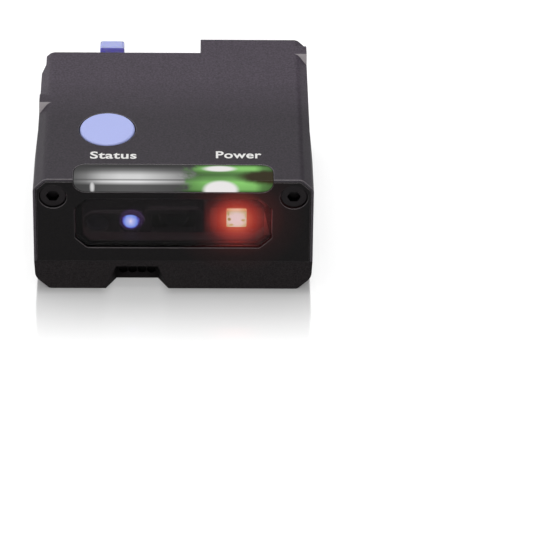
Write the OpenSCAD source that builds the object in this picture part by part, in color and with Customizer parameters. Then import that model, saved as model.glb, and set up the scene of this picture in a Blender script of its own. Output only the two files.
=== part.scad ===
// Fixed barcode reader: a small black case with a tinted window, a light pipe over the
// front edge, a round trigger button, a scan engine inside and a latched cable socket.
// X points right, Y to the rear and Z up. The origin is on the bottom face, midway
// between the two mounting inserts.

/* [Case] */
// Overall width, at the seam
body_w = 48.5; // [44:0.1:60]
// Overall depth
body_d = 43; // [39:0.5:56]
// Overall height
body_h = 23.6; // [22:0.2:30]
// Thickness of the case walls
wall = 1.6; // [1.4:0.1:1.9]
// Thickness of the base floor
floor_t = 1.8; // [1.4:0.1:2.2]
// Chamfer along the upper side edges
top_chamfer = 2; // [1:0.1:2.4]
// Chamfer along the lower side edges
bottom_chamfer = 2.4; // [1:0.1:2.6]
// Rounding where the upper chamfers meet the flat faces
edge_r = 1.5; // [0.2:0.1:2]
// Rounding above the lower chamfers
base_r = 2.4; // [0.4:0.1:2.6]
// Draft of each side wall, from the seam to the chamfers
side_draft = 0.15; // [0.05:0.05:0.4]
// How far each side wall stands in behind the front cover
side_taper = 0.45; // [0.2:0.05:0.6]
// Length over which it runs in
taper_len = 13; // [6:0.5:16]
// Height of the base tray, up to the seam
base_h = 6; // [5.6:0.1:6.6]
// Side clearance between moulded pieces
fit = 0.1; // [0.05:0.01:0.15]

/* [Rear step] */
// Depth of the step in the rear face
recess_d = 4.3; // [4:0.1:5.5]
// Width of the step, from the left side
recess_w = 28.9; // [26:0.1:31]
// Set-in of the left rear corner
corner_inset = 0.75; // [0.3:0.05:1.2]
// Length of that set-in
corner_len = 2.6; // [1.5:0.1:4]
// Length of the ramp that leads to it
corner_ramp = 1.9; // [1:0.1:3]

/* [Lugs] */
// Length of the square lugs on the upper chamfers
lug_w = 2.5; // [1.5:0.1:4]
// Reach of the lugs' sloping noses
lug_nose = 1.2; // [0.3:0.1:2]
// Middle of the left lug, behind the front face
lug_left_y = 24.2; // [12:0.1:30]
// Middle of the right lug, ahead of the rear face
lug_right_y = 3.25; // [2.5:0.05:12]

/* [Front cover] */
// Thickness of the cover's flange
flange_t = 0.8; // [0.6:0.1:1.4]
// Thickness of the housing's lip round the flange
lip_t = 0.45; // [0.3:0.05:0.6]
// Length of the cover's plug inside the housing
plug_t = 3.2; // [2.9:0.1:3.8]

/* [Window] */
// Window's distance from the side faces
window_side = 7.2; // [6.6:0.1:9]
// Height of the window's rebate
window_h = 10.5; // [9:0.1:11]
// Centre of the window, below the top face
window_drop = 9.4; // [9.2:0.1:9.7]
// Size of the window's cut corners
window_r = 2.1; // [1.6:0.1:3]
// Rounding of those corners
window_round = 0.8; // [0.2:0.1:1]
// Thickness of the window pane
window_t = 1.2; // [0.8:0.1:1.6]
// Pane's set-back behind the front face
window_set = 0.3; // [0.1:0.05:0.5]
// Width of the seat beside the opening, left and right
ledge_x = 1.4; // [0.8:0.1:2]
// Width of the seat above and below the opening
ledge_z = 0.75; // [0.6:0.05:1]
// Thickness of the pane's gasket
gasket_t = 0.25; // [0.15:0.05:0.4]

/* [Light pipe] */
// Light pipe's distance from the side faces
pipe_side = 7.2; // [6.8:0.1:9]
// Depth of the pipe on the top face
pipe_d = 4.3; // [4:0.1:5]
// Height of the pipe on the front face
pipe_h = 2.6; // [2.2:0.1:2.7]
// Corner radius of the pipe's outline
pipe_r = 2; // [1:0.1:2.1]
// Rounding of the pipe's front edge
pipe_edge_r = 0.8; // [0.3:0.05:1]
// Thickness of the pipe's front leg
pipe_leg_t = 1.6; // [1.2:0.1:2]
// Reach of the pipe's lip under the top wall
pipe_lip_d = 1.5; // [1:0.1:2]
// Thickness of that lip
pipe_lip_t = 1.2; // [0.8:0.1:1.4]
// Side reach of that lip
pipe_lip_side = 0.6; // [0.3:0.05:0.7]

/* [Trigger button] */
// Diameter of the button's cap
button_d = 9.6; // [8:0.05:10.6]
// Button's place, left of the middle
button_left = 11.6; // [9:0.1:12]
// Button's place, behind the front face
button_back = 14.75; // [14:0.05:16]
// Gap round the cap
button_gap = 0.15; // [0.15:0.01:0.3]
// How far the button stands above the top
button_rise = 0.25; // [0.1:0.05:0.4]
// Reach of the button's flange under the top wall
button_flange = 0.9; // [0.5:0.05:1.2]
// Thickness of that flange
button_flange_t = 0.8; // [0.6:0.05:0.9]
// Play between the flange and the top wall
button_lash = 0.1; // [0.05:0.01:0.15]
// Width of the switch body
switch_w = 5.2; // [4.5:0.1:6.2]
// Height of the switch body
switch_h = 0.9; // [0.85:0.05:1]
// Plunger's stand above the switch body
plunger_out = 0.7; // [0.6:0.05:0.75]
// Radius of the plunger
plunger_r = 1; // [0.7:0.05:1.5]

/* [Base pocket] */
// Middle of the front pocket, left of the centre
notch_left = 6.36; // [4:0.1:8]
// Pocket's width at the bottom
notch_w = 10.95; // [8:0.1:12]
// Pocket's width at its top
notch_top_w = 7.25; // [5.5:0.1:7.8]
// Pocket's height
notch_h = 4.85; // [3.5:0.05:5]
// Pocket's depth
notch_d = 3; // [2:0.1:3.4]
// Diameter of the round recesses in its back wall
notch_hole_d = 1.5; // [0.8:0.05:1.6]
// Pitch of those recesses
notch_pitch = 1.65; // [1.61:0.01:1.75]
// Height of those recesses above the bottom face
notch_hole_z = 1.95; // [1.2:0.05:2.4]

/* [Fasteners] */
// Front screws: thread diameter
front_d = 2.5; // [2:0.1:2.6]
// Front screws: head diameter
front_head_d = 4.5; // [3.8:0.1:4.6]
// Front screws: head height
front_head_h = 2.5; // [2:0.1:2.6]
// Front screws: head set-back behind the front face
front_set = 0.3; // [0.1:0.05:0.8]
// Front screws: distance from the side face
front_in = 3.55; // [3.2:0.05:3.7]
// Front screws: distance below the top face
front_drop = 3.75; // [3.7:0.05:3.8]
// Base screws: thread diameter
base_d = 2; // [1.6:0.1:2.2]
// Base screws: head diameter
base_head_d = 3.6; // [3:0.1:3.8]
// Base screws: distance from the side face
base_in = 4.5; // [4.2:0.05:4.6]
// Distance between the two mounting inserts
mount_pitch = 26; // [20:0.5:28]
// Core diameter of the inserts' thread
mount_d = 2.5; // [2:0.1:3]
// Outer diameter of the inserts
insert_d = 4.2; // [4:0.1:5]
// Length of the inserts
insert_len = 4.2; // [3:0.1:4.4]

/* [Scan engine] */
// Gap between the cover's plug and the engine's front
engine_gap = 0.9; // [0.8:0.1:1.4]
// Optical axis below the window's centre
axis_drop = 3; // [1.5:0.1:3.2]
// Optical axis above the underside of the engine
axis_h = 4.6; // [4.4:0.1:4.8]
// Width of the engine's mounting ears
ear_w = 3.7; // [3.4:0.1:4.4]
// Room for the flexes behind the engine
flex_room = 4; // [3.4:0.1:5]
// Gap between the engine board and the side walls
engine_side = 1.2; // [0.6:0.1:1.4]
// Thickness of the engine board
board_t = 1.2; // [0.8:0.1:1.4]
// Height of the tallest parts on the engine board
part_h = 1.1; // [0.95:0.05:1.2]
// Camera's barrel: radius
barrel_r = 4.2; // [4.1:0.05:4.3]
// Camera's aperture: width
aperture_w = 7.8; // [6:0.1:8]
// Camera's aperture: height
aperture_h = 4.6; // [3.5:0.1:5]
// Aimers: gap between their frame and the camera's frame
aimer_gap = 0.1; // [0:0.05:0.4]
// Aimers: radius of the lenses
aimer_r = 1.9; // [1.6:0.05:2]
// Illumination: width of the LED
led_w = 3.5; // [2.8:0.1:4.5]

/* [Cable socket] */
// Middle of the socket, left of the centre
socket_left = 11.3; // [10.9:0.1:11.8]
// Width of the socket
socket_w = 12; // [10:0.1:12.4]
// Height of the socket
socket_h = 6.4; // [6.2:0.1:6.8]
// Depth of the socket
socket_d = 8.5; // [8:0.1:8.7]
// Thickness of the socket's shroud
socket_wall = 0.8; // [0.6:0.05:0.9]
// Height of the interface board above the floor
iface_rise = 1.8; // [1.2:0.1:2]

/* [Cable latch] */
// Width of the latch lever
latch_w = 4.35; // [4:0.05:6]
// Thickness of the lever's finger tab
latch_t = 2.15; // [1.4:0.05:2.3]
// Lever's top below the top face
latch_drop = 0.2; // [0.1:0.05:1]
// Pivot below the top face
pivot_drop = 8; // [7:0.1:8.2]
// Radius of the pivot pin
pin_r = 0.5; // [0.4:0.02:0.6]
// Running clearance of the lever on its pin
pin_gap = 0.05; // [0.03:0.01:0.08]

/* [Hidden] */
$fn = 48;
over = 1;
edge_steps = 4;
lug_fall = 0.6;

hw = body_w / 2;
y_front = -body_d / 2;
y_rear = body_d / 2;
y_step = y_rear - recess_d;
x_step = recess_w - hw;
z_roof = body_h - wall;
y_cover = y_front + flange_t;
y_plug = y_cover + plug_t;

z_window = body_h - window_drop;
window_w = body_w - 2 * window_side;
rebate_d = window_set + window_t + gasket_t;

pipe_w = body_w - 2 * pipe_side;
roof_gap = 0.05;
z_lip = z_roof - roof_gap - pipe_lip_t;
y_lip = y_front + pipe_d + pipe_lip_d;

// Screws of the front cover and the base
thread_gap = 0.03;
hole_gap = 0.15;
tip_gap = 0.2;
front_x = hw - front_in;
front_z = body_h - front_drop;
front_seat = y_front + front_set + front_head_h;
front_bite = 3.3;
front_len = y_plug - front_seat + front_bite;
front_boss_len = 4;
front_boss = 2.05;
base_x = hw - base_in;
base_boss_r = 1.8;
base_back = 10.7;
base_y = [y_plug + 2 * fit + base_boss_r, y_step - base_back];
insert_boss = 1.1;

// Stack under the top wall: button, switch, indicator board, parts, engine board
button_x = -button_left;
button_y = y_front + button_back;
button_edge = 0.25;
z_flange = z_roof - button_lash - button_flange_t;
z_switch = z_flange - plunger_out;
plunger_seat = 0.2;
z_ind = z_switch - switch_h;
ind_t = 0.6;
ind_side = 1.9;
ind_w = 2 * (front_x - front_boss - ind_side);
ind_y0 = y_plug + 3 * fit;
ind_y1 = button_y + switch_w;
ind_boss_r = 1.6;
ind_boss_in = 1.8;
ind_boss_right = 7.5;
ind_boss_front = 7.35;
ind_boss_rear = 2.65;
ind_bosses = [
  [ind_boss_in - ind_w / 2, button_y - ind_boss_front],
  [button_x + ind_boss_right, button_y + ind_boss_rear],
  [ind_w / 2 - ind_boss_in, button_y + ind_boss_rear]
];
ind_screw_r = 0.6;
ind_head_r = 1.2;
ind_head_h = 0.9;
indicator_led_x = 8.1;
indicator_led = [1.6, 0.8, 0.6];
part_gap = 0.2;
z_board_top = z_ind - ind_t - part_gap - part_h;
z_board = z_board_top - board_t;

// Interface board and socket, behind the bosses of the mounting inserts
iface_t = 1;
iface_side = 1.4;
iface_clear = 1.8;
iface_w = 2 * (base_x - base_boss_r - iface_side);
iface_y0 = insert_d / 2 + insert_boss + iface_clear;
iface_y1 = y_step - wall - 2 * fit;
z_iface = floor_t + iface_rise;
z_iface_top = z_iface + iface_t;
iface_post_r = 1.7;
iface_screw_x = 1.9;
iface_screw_in = 3;
iface_screw_back = 2.2;
iface_chip = [6, 2.6, 1];
iface_chip_in = 0.3;
socket_x = -socket_left;
socket_back = 1.5;
contact = [0.5, 2.4, 0.5];
contact_count = 5;
contact_pitch = 1.8;
contact_row = 1.2;
iface_screws = [
  [socket_x + socket_w / 2 + iface_screw_x, iface_y1 - iface_screw_back],
  [iface_w / 2 - iface_screw_in, iface_y1 - iface_screw_back]
];

// Scan engine, between the cover's plug and the flexes
conn_h = 1;
conn_d = 2.4;
conn_wall = 0.6;
conn_in = 2.6;
conn_edge = 0.6;
conn_y_iface = iface_y0 + conn_in;
conn_y_ind = ind_y1 - conn_d - part_gap;
y_engine = y_plug + engine_gap;
y_engine_back = conn_y_iface - flex_room;
conn_y_engine = y_engine_back - conn_d - conn_edge;
flex_t = 0.2;
flex_bend = 1.2;
flex_rise = 0.4;
flex_grip = 1.2;
y_flex = (y_engine_back + conn_y_iface) / 2;
ear_x1 = hw - wall - engine_side;
ear_x0 = ear_x1 - ear_w;
ear_x = (ear_x0 + ear_x1) / 2;
chassis_w = 2 * ear_x0;
engine_flex_in = 5.7;
engine_flex_x = chassis_w / 2 - engine_flex_in;
engine_flex_w = 6;
flex_pitch = 8.6;
ind_flex_x = engine_flex_x - flex_pitch;
ind_flex_w = 5;
z_axis = z_window - axis_drop;
z_chassis = z_axis - axis_h;
ear_rise = 2;
z_ear = z_chassis + ear_rise;
cavity_d = 8.7;
y_cavity = y_engine_back - cavity_d;
cavity_wall = 1.5;
frame_t = 0.6;
camera_bezel = 1;
barrel_front = 1.6;
barrel_gap = 0.8;
lens_r = 2.6;
lens_t = 1.8;
lens_dome = 0.5;
stop_r = 1.6;
sensor = [6, 1.2, 5.6];
sensor_board_t = 0.8;
sensor_board_x = 6.5;
aimer_inner = aperture_w / 2 + camera_bezel + aimer_gap + frame_t + aimer_r;
aimer_outer = (aimer_inner + aimer_r + chassis_w / 2 - frame_t) / 2;
aimer_seat = 1.5;
aimer_t = 2;
aimer_dome = 0.7;
aimer_led = [1.6, 0.8, 1.6];
led_x = (barrel_r + chassis_w / 2) / 2;
pocket_w = 9.2;
pocket_h = 6.4;
pocket_d = 1.7;
pocket_taper = 1.2;
led_t = 0.9;
led_board = [7.8, 1, 6];
z_base_boss = z_ear - 3 * fit;
base_len = z_base_boss - 4 * fit;
post_gap = 0.5;
post_r = ear_w / 2 - 2 * fit;
post_y = base_y[0] + base_boss_r + post_gap + post_r;
post_bite = 4;
ear_end = 2.5;
ear_back = 4.05;
engine_screw_y = y_engine_back - ear_back - ear_end;
engine_screw_r = 0.9;
engine_screw_len = 5;
engine_head_r = 1.8;
engine_head_max = 1.1;
engine_head_h = min(engine_head_max, part_h);

// Engine board: its cut-out over the optics and the parts behind it
board_set = 0.3;
board_back = 9.7;
board_slot_d = 4.4;
board_slot = 5.4;
board_left = 6.4;
board_right = 10.3;
chip_h = part_h - part_gap;
processor_w = 7;
processor_x = -1;
memory = [4, 5];
memory_gap = 0.5;
coil_w = 3;
coil_in = 4.7;
coil_back = 13.2;
cap = [1.2, 0.8, 0.7];
cap_in = 1.7;
cap_count = 4;
cap_pitch = 2;
cap_back = [7, 3.8];

// Cable latch
pivot_back = 2.6;
pivot_y = y_step + pivot_back;
pivot_z = body_h - pivot_drop;
latch_x = -socket_left;
latch_in = 0.15;
latch_y1 = y_rear - latch_in;
latch_y0 = latch_y1 - latch_t;
latch_z1 = body_h - latch_drop;
latch_clear = 0.9;
latch_z0 = z_iface_top + socket_h + latch_clear;
latch_round = 0.2;
latch_corner = 0.6;
latch_neck = 3.4;
latch_heel = 0.7;
latch_arm_t = 1.5;
barrel_wall = 1;
ear_gap = 0.15;
ear_t = 1.2;
lug_wall = 1.1;
spring_w = 2.3;
spring_leg = 3.6;
coil_r = 0.85;
wire_r = 0.14;
coil_half = 0.7;
coil_turn = 22.5;
coil_sweep = 1350;

// Extrudes an XZ outline towards the rear, from y0 over a length
module along_y(y0, len) {
  translate([0, y0 + len, 0]) rotate([90, 0, 0]) linear_extrude(len) children();
}

// Extrudes a YZ outline to the right, centred on x over a width
module along_x(x, w) {
  translate([x - w / 2, 0, 0]) rotate([90, 0, 90]) linear_extrude(w) children();
}

// Box from its low corner to its high corner
module block(a, b) {
  translate(a) cube(b - a);
}

// Rectangle with round corners, centred on the origin
module rounded_rect(w, h, r) {
  square([w - 2 * r, h], center = true);
  square([w, h - 2 * r], center = true);
  for (sx = [-1, 1], sy = [-1, 1])
    translate([sx * (w / 2 - r), sy * (h / 2 - r)]) circle(r);
}

// Tongue of width w that runs from y = 0 to d, with its two far corners rounded
module tongue(w, d, r, back = 0) {
  translate([-w / 2, -back]) square([w, d + back - r]);
  translate([r - w / 2, -back]) square([w - 2 * r, d + back]);
  for (s = [-1, 1]) translate([s * (w / 2 - r), d - r]) circle(r);
}

function unit(v) = v / norm(v);

// Outline through points of x, z and radius, with each corner rounded in a number of steps
function rounded(pts, steps) = [
  for (i = [0:len(pts) - 1])
    let (
      count = len(pts),
      before = pts[(i + count - 1) % count],
      after = pts[(i + 1) % count],
      p = [pts[i][0], pts[i][1]],
      r = pts[i][2],
      a = unit([before[0], before[1]] - p),
      b = unit([after[0], after[1]] - p),
      half = acos(a * b) / 2,
      c = p + unit(a + b) * r / sin(half),
      u = p + a * r / tan(half) - c,
      v = p + b * r / tan(half) - c
    )
    each r > 0 ? [for (k = [0:steps]) c + r * unit(u * (1 - k / steps) + v * k / steps)] : [p]
];

// Rectangle with its corners cut by c, and each corner of the cuts rounded by r
module cut_rect(w, h, c, r) {
  x = w / 2;
  z = h / 2;
  polygon(rounded([
    [c - x, -z, r], [x - c, -z, r], [x, c - z, r], [x, z - c, r],
    [x - c, z, r], [c - x, z, r], [-x, z - c, r], [-x, c - z, r]
  ], edge_steps));
}

// Section of the case in XZ, set in by t on every side, with sharp or soft corners
module case_section(t, soft = false) {
  w = hw - t;
  wd = w - side_draft;
  z0 = t;
  z1 = body_h - t;
  c1 = top_chamfer - t * (2 - sqrt(2));
  c0 = bottom_chamfer - t * (2 - sqrt(2));
  r1 = soft ? edge_r : 0;
  rs = soft ? base_r : 0;
  r0 = r1 / 2;
  polygon(rounded([
    [c0 - wd, z0, r0], [wd - c0, z0, r0], [wd, z0 + c0, rs], [w, base_h, 0], [wd, z1 - c1, r1],
    [wd - c1, z1, r1], [c1 - wd, z1, r1], [-wd, z1 - c1, r1], [-w, base_h, 0], [-wd, z0 + c0, rs]
  ], edge_steps));
}

// Plan of the case in XY, set in by t at the sides and rear, starting at y0
module case_plan(t, y0) {
  x_front = hw - t;
  x_side = x_front - side_taper;
  x_in = corner_inset - x_side;
  y1 = y_plug;
  y2 = y_plug + taper_len;
  polygon([
    [-x_front, y0], [x_front, y0], [x_front, y1], [x_side, y2], [x_side, y_rear - t], [x_step + t, y_rear - t],
    [x_step + t, y_step - t], [x_in, y_step - t], [x_in, y_step - corner_len],
    [-x_side, y_step - corner_len - corner_ramp], [-x_side, y2], [-x_front, y1]
  ]);
}

// The case as one solid, set in by t, from y0 to the rear and from z0 to z1
module case_block(t, y0, z0, z1) {
  intersection() {
    along_y(y0, body_d) case_section(t, t == 0);
    translate([0, 0, z0]) linear_extrude(z1 - z0) case_plan(t, y0);
  }
}

// Screw along Z: the head's underside is at 0, the shank points down
module screw(shank_r, len, head_r, head_h, key_r) {
  difference() {
    union() {
      cylinder(r = head_r, h = head_h);
      translate([0, 0, -len]) cylinder(r = shank_r, h = len);
    }
    translate([0, 0, head_h / 2]) cylinder(r = key_r, h = head_h, $fn = 6);
  }
}

// Ribbon in the YZ plane: out to the rear from (y0, z0), down at y_flex, in at (y1, z1)
module ribbon(x, w, y0, z0, y1, z1) {
  r_out = flex_bend + flex_t / 2;
  r_in = flex_bend - flex_t / 2;
  half = flex_t / 2;
  steps = [0:9:90];
  top = [y_flex - flex_bend, z0 - flex_bend];
  low = [y_flex + flex_bend, z1 + flex_bend];
  upper = [for (a = steps) top + r_out * [sin(a), cos(a)]];
  lower = [for (a = steps) low - r_in * [cos(a), sin(a)]];
  lower_back = [for (a = steps) low - r_out * [sin(a), cos(a)]];
  upper_back = [for (a = steps) top + r_in * [cos(a), sin(a)]];
  along_x(x, w) polygon(concat(
    [[y0, z0 + half]], upper, lower, [[y1, z1 + half], [y1, z1 - half]],
    lower_back, upper_back, [[y0, z0 - half]]
  ));
}

// Flex connector: a block on z with a slot that is open towards the flex
module flex_connector(x, w, y, z, mouth_rear) {
  slot_y = mouth_rear ? y + conn_d - flex_grip - fit : y - over;
  difference() {
    block([x - w / 2 - conn_wall, y, z], [x + w / 2 + conn_wall, y + conn_d, z + conn_h]);
    block(
      [x - w / 2 - fit, slot_y, z + flex_rise - flex_t / 2 - fit / 2],
      [x + w / 2 + fit, slot_y + flex_grip + fit + over, z + flex_rise + flex_t / 2 + fit / 2]
    );
  }
}

module notch_outline(w_low, w_high, h) {
  polygon([[-w_low / 2, -over], [w_low / 2, -over], [w_low / 2, 0],
    [w_high / 2, h], [-w_high / 2, h], [-w_low / 2, 0]]);
}

module base_tray() {
  skin = 1.2;
  slice = 0.01;
  color("#2b292a") difference() {
    union() {
      difference() {
        case_block(0, y_front, 0, base_h);
        case_block(wall, y_front + wall, floor_t, body_h);
      }
      // Thick corner behind the front pocket
      block(
        [-notch_left - notch_w / 2 - skin, y_front + wall / 2, floor_t / 2],
        [-notch_left + notch_w / 2 + skin, y_front + notch_d + skin, base_h]
      );
      for (s = [-1, 1]) {
        for (y = base_y) {
          translate([s * base_x, y, floor_t / 2]) cylinder(r = base_boss_r, h = base_h - floor_t / 2);
        }
        translate([s * ear_x, post_y, floor_t / 2])
          cylinder(r = post_r, h = z_ear - floor_t / 2);
        translate([s * mount_pitch / 2, 0, floor_t / 2])
          cylinder(d = insert_d + 2 * insert_boss, h = insert_len + wall - floor_t);
      }
      for (p = iface_screws) {
        translate([p[0], p[1], floor_t / 2]) cylinder(r = iface_post_r, h = z_iface - floor_t / 2);
      }
    }
    // Front pocket with sloping sides
    translate([-notch_left, 0, 0]) hull() {
      along_y(y_front - slice, slice) notch_outline(notch_w, notch_top_w, notch_h);
      along_y(y_front + notch_d - slice, slice)
        notch_outline(notch_top_w, notch_top_w * 0.9, notch_h * 0.9);
    }
    for (i = [-1.5:1:1.5])
      along_y(y_front + notch_d - over / 2, over)
        translate([i * notch_pitch - notch_left, notch_hole_z]) circle(d = notch_hole_d);
    // Screw holes, insert bores and the lower half of the socket's opening
    for (s = [-1, 1]) {
      for (y = base_y) translate([s * base_x, y, 0]) {
        translate([0, 0, -over]) cylinder(r = base_d / 2 + hole_gap, h = base_h + 2 * over);
        translate([0, 0, -fit]) cylinder(
          r1 = base_head_d / 2 + 2 * fit, r2 = base_d / 2 + fit, h = (base_head_d - base_d) / 2 + fit);
      }
      translate([s * ear_x, post_y, z_ear - post_bite - over])
        cylinder(r = engine_screw_r + thread_gap, h = post_bite + 2 * over);
      translate([s * mount_pitch / 2, 0, -over])
        cylinder(r = insert_d / 2 + thread_gap, h = insert_len + over);
    }
    for (p = iface_screws) {
      translate([p[0], p[1], floor_t]) cylinder(r = ind_screw_r + thread_gap, h = z_iface);
    }
    block(
      [socket_x - socket_w / 2 - fit, y_step - wall - over, z_iface_top - fit],
      [socket_x + socket_w / 2 + fit, y_step + over, body_h]
    );
  }
}

// Lug that fills the upper chamfer at one side, with a sloping nose
module lug(side, y) {
  leg = top_chamfer + edge_r / 2;
  x = hw - max(side_draft, side_taper);
  z0 = body_h - leg;
  z_nose = body_h - leg * lug_fall;
  y0 = y - lug_w / 2;
  y1 = y + lug_w / 2;
  intersection() {
    along_y(y0 - lug_nose, lug_w + lug_nose)
      polygon([[side * x, z0], [side * x, body_h], [side * (x - leg), body_h]]);
    along_x(0, body_w) polygon([
      [y1, z0], [y1, body_h], [y0, body_h], [y0 - lug_nose, z_nose], [y0 - lug_nose, z0]
    ]);
  }
}

module housing() {
  r_ear = pin_r + lug_wall;
  x_ear = latch_w / 2 + ear_gap + ear_t / 2;
  color("#2b292a") difference() {
    union() {
      difference() {
        union() {
          case_block(0, y_front, base_h, body_h);
          lug(-1, y_front + lug_left_y);
          lug(1, y_rear - lug_right_y);
        }
        case_block(wall, y_front, 0, body_h);
        // Seat of the front cover's flange, inside the lip
        along_y(y_front - over, over + flange_t) case_section(lip_t);
      }
      for (s = [-1, 1]) {
        // Bosses of the front screws
        x_in = front_x - front_boss;
        x_out = hw - wall / 2;
        intersection() {
          block(
            [s > 0 ? x_in : -x_out, y_plug, front_z - front_boss],
            [s > 0 ? x_out : -x_in, y_plug + front_boss_len, z_roof + wall / 4]
          );
          along_y(y_front, body_d) case_section(wall / 2);
        }
        // Bosses of the base screws, with a web to the side wall
        for (y = base_y) {
          translate([s * base_x, y, base_h]) cylinder(r = base_boss_r, h = z_base_boss - base_h);
          block(
            [s > 0 ? base_x : -x_out, y - base_boss_r / 2, base_h],
            [s > 0 ? x_out : -base_x, y + base_boss_r / 2, z_base_boss]
          );
        }
        // Ears of the latch
        along_x(latch_x + s * x_ear, ear_t) {
          translate([pivot_y, pivot_z]) circle(r_ear);
          translate([y_step - wall / 2, pivot_z - r_ear])
            square([pivot_y - y_step + wall / 2, 2 * r_ear]);
        }
      }
      for (p = ind_bosses) {
        translate([p[0], p[1], z_ind]) cylinder(r = ind_boss_r, h = z_roof + wall / 4 - z_ind);
      }
    }
    // Button hole and the light pipe's notch in the top wall
    translate([button_x, button_y, z_roof - over])
      cylinder(r = button_d / 2 + button_gap, h = wall + 2 * over);
    translate([0, y_front, z_roof - fit])
      linear_extrude(wall + over) tongue(pipe_w + 2 * fit, pipe_d + fit, pipe_r + fit, over);
    // Front screws
    for (s = [-1, 1]) {
      along_y(y_front, front_set + front_head_h) translate([s * front_x, front_z])
        circle(front_head_d / 2 + hole_gap);
      along_y(y_plug - over, over + front_bite + tip_gap) translate([s * front_x, front_z])
        circle(front_d / 2 + thread_gap);
      for (y = base_y) {
        translate([s * base_x, y, base_h - over])
          cylinder(r = base_d / 2 + thread_gap, h = base_len + over - base_h + tip_gap);
      }
    }
    for (p = ind_bosses) {
      translate([p[0], p[1], z_ind - over]) cylinder(r = ind_screw_r + thread_gap, h = z_roof - z_ind + over);
    }
    // Upper half of the socket's opening, and the latch pin's bore
    block(
      [socket_x - socket_w / 2 - fit, y_step - wall - over, 0],
      [socket_x + socket_w / 2 + fit, y_step + over / 2, z_iface_top + socket_h + fit]
    );
    along_x(latch_x, body_w / 2) translate([pivot_y, pivot_z]) circle(pin_r + thread_gap);
  }
}

module front_cover() {
  through = rebate_d + plug_t + 2 * over;
  color("#232122") difference() {
    union() {
      intersection() {
        along_y(y_front, flange_t) case_section(lip_t + fit);
        block([-body_w, -body_d, base_h], [body_w, body_d, body_h]);
      }
      intersection() {
        along_y(y_cover, plug_t) case_section(wall + fit);
        block([-body_w, -body_d, base_h + fit], [body_w, body_d, body_h]);
      }
    }
    // Window rebate and the opening behind it
    translate([0, 0, z_window]) {
      along_y(y_front - over, over + rebate_d) cut_rect(window_w, window_h, window_r, window_round);
      along_y(y_front - over, through)
        cut_rect(window_w - 2 * ledge_x, window_h - 2 * ledge_z, window_r - ledge_z, window_round);
    }
    // Notch of the light pipe, and room for its lip
    along_y(y_front - over, through) translate([0, body_h]) mirror([0, 1])
      tongue(pipe_w + 2 * fit, pipe_h + fit, pipe_r + fit, over);
    block(
      [-pipe_w / 2 - pipe_lip_side - fit, y_cover, z_lip - fit],
      [pipe_w / 2 + pipe_lip_side + fit, y_plug + over, body_h]
    );
    // Counterbores of the front screws
    for (s = [-1, 1]) {
      along_y(y_front - over, over + front_set + front_head_h) translate([s * front_x, front_z])
        circle(front_head_d / 2 + hole_gap);
      along_y(y_front, through) translate([s * front_x, front_z]) circle(front_d / 2 + hole_gap);
    }
  }
}

module scan_window() {
  color("#3a1f22") translate([0, 0, z_window]) along_y(y_front + window_set, window_t)
    cut_rect(window_w - 2 * fit, window_h - 2 * fit, window_r - fit, window_round);
}

module window_gasket() {
  color("#111111") translate([0, 0, z_window]) along_y(y_front + window_set + window_t, gasket_t)
    difference() {
      cut_rect(window_w - 2 * fit, window_h - 2 * fit, window_r - fit, window_round);
      cut_rect(window_w - 2 * ledge_x + fit, window_h - 2 * ledge_z + fit, window_r - ledge_z, window_round);
    }
}

module light_pipe() {
  color("#dfe6df") intersection() {
    union() {
      translate([0, y_cover + fit, z_roof - roof_gap]) linear_extrude(wall + roof_gap)
        tongue(pipe_w, pipe_d - flange_t - fit, pipe_r);
      along_y(y_front, pipe_leg_t) translate([0, body_h]) mirror([0, 1])
        tongue(pipe_w, pipe_h, pipe_r);
      block(
        [-pipe_w / 2 - pipe_lip_side, y_cover + fit, z_lip],
        [pipe_w / 2 + pipe_lip_side, y_lip, z_roof - roof_gap]
      );
    }
    // Rounded front edge
    along_x(0, body_w) {
      translate([y_front + pipe_edge_r, 0]) square([body_d, body_h]);
      translate([y_front, 0]) square([body_d, body_h - pipe_edge_r]);
      translate([y_front + pipe_edge_r, body_h - pipe_edge_r]) circle(pipe_edge_r);
    }
  }
}

module trigger_button() {
  r = button_d / 2;
  z_cap = z_flange + button_flange_t;
  z_top = body_h + button_rise;
  color("#b3bdf0") translate([button_x, button_y, 0]) rotate_extrude()
    polygon([
      [0, z_flange], [r + button_flange, z_flange], [r + button_flange, z_cap], [r, z_cap],
      [r, z_top - button_edge], [r - button_edge, z_top], [0, z_top]
    ]);
}

module switch_plunger() {
  color("#e6e2d8") translate([button_x, button_y, z_switch - plunger_seat])
    cylinder(r = plunger_r, h = plunger_out + plunger_seat);
}

module switch_body() {
  color("#1c1c1c") difference() {
    translate([button_x - switch_w / 2, button_y - switch_w / 2, z_ind])
      cube([switch_w, switch_w, switch_h]);
    translate([button_x, button_y, z_ind + fit]) cylinder(r = plunger_r + fit, h = switch_h);
  }
}

module indicator_board() {
  color("#1f3d2b") difference() {
    block([-ind_w / 2, ind_y0, z_ind - ind_t], [ind_w / 2, ind_y1, z_ind]);
    for (p = ind_bosses) {
      translate([p[0], p[1], z_ind - over]) cylinder(r = ind_screw_r + hole_gap, h = 2 * over);
    }
  }
}

module indicator_led(x) {
  translate([x - indicator_led[0] / 2, ind_y0 + 2 * fit, z_ind]) cube(indicator_led);
}

module status_led() { color("#e8e4d0") indicator_led(-indicator_led_x); }

module power_led() { color("#7dff8a") indicator_led(indicator_led_x); }

module indicator_screws() {
  color("silver") for (p = ind_bosses) {
    translate([p[0], p[1], z_ind - ind_t]) rotate([180, 0, 0])
      screw(ind_screw_r, z_roof - z_ind, ind_head_r, ind_head_h, ind_head_r / 2);
  }
}

module indicator_flex() {
  color("#c98a3c") ribbon(ind_flex_x, ind_flex_w, conn_y_ind + conn_d - flex_grip, z_ind + flex_rise,
    conn_y_iface + flex_grip, z_iface_top + flex_rise);
}

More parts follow.
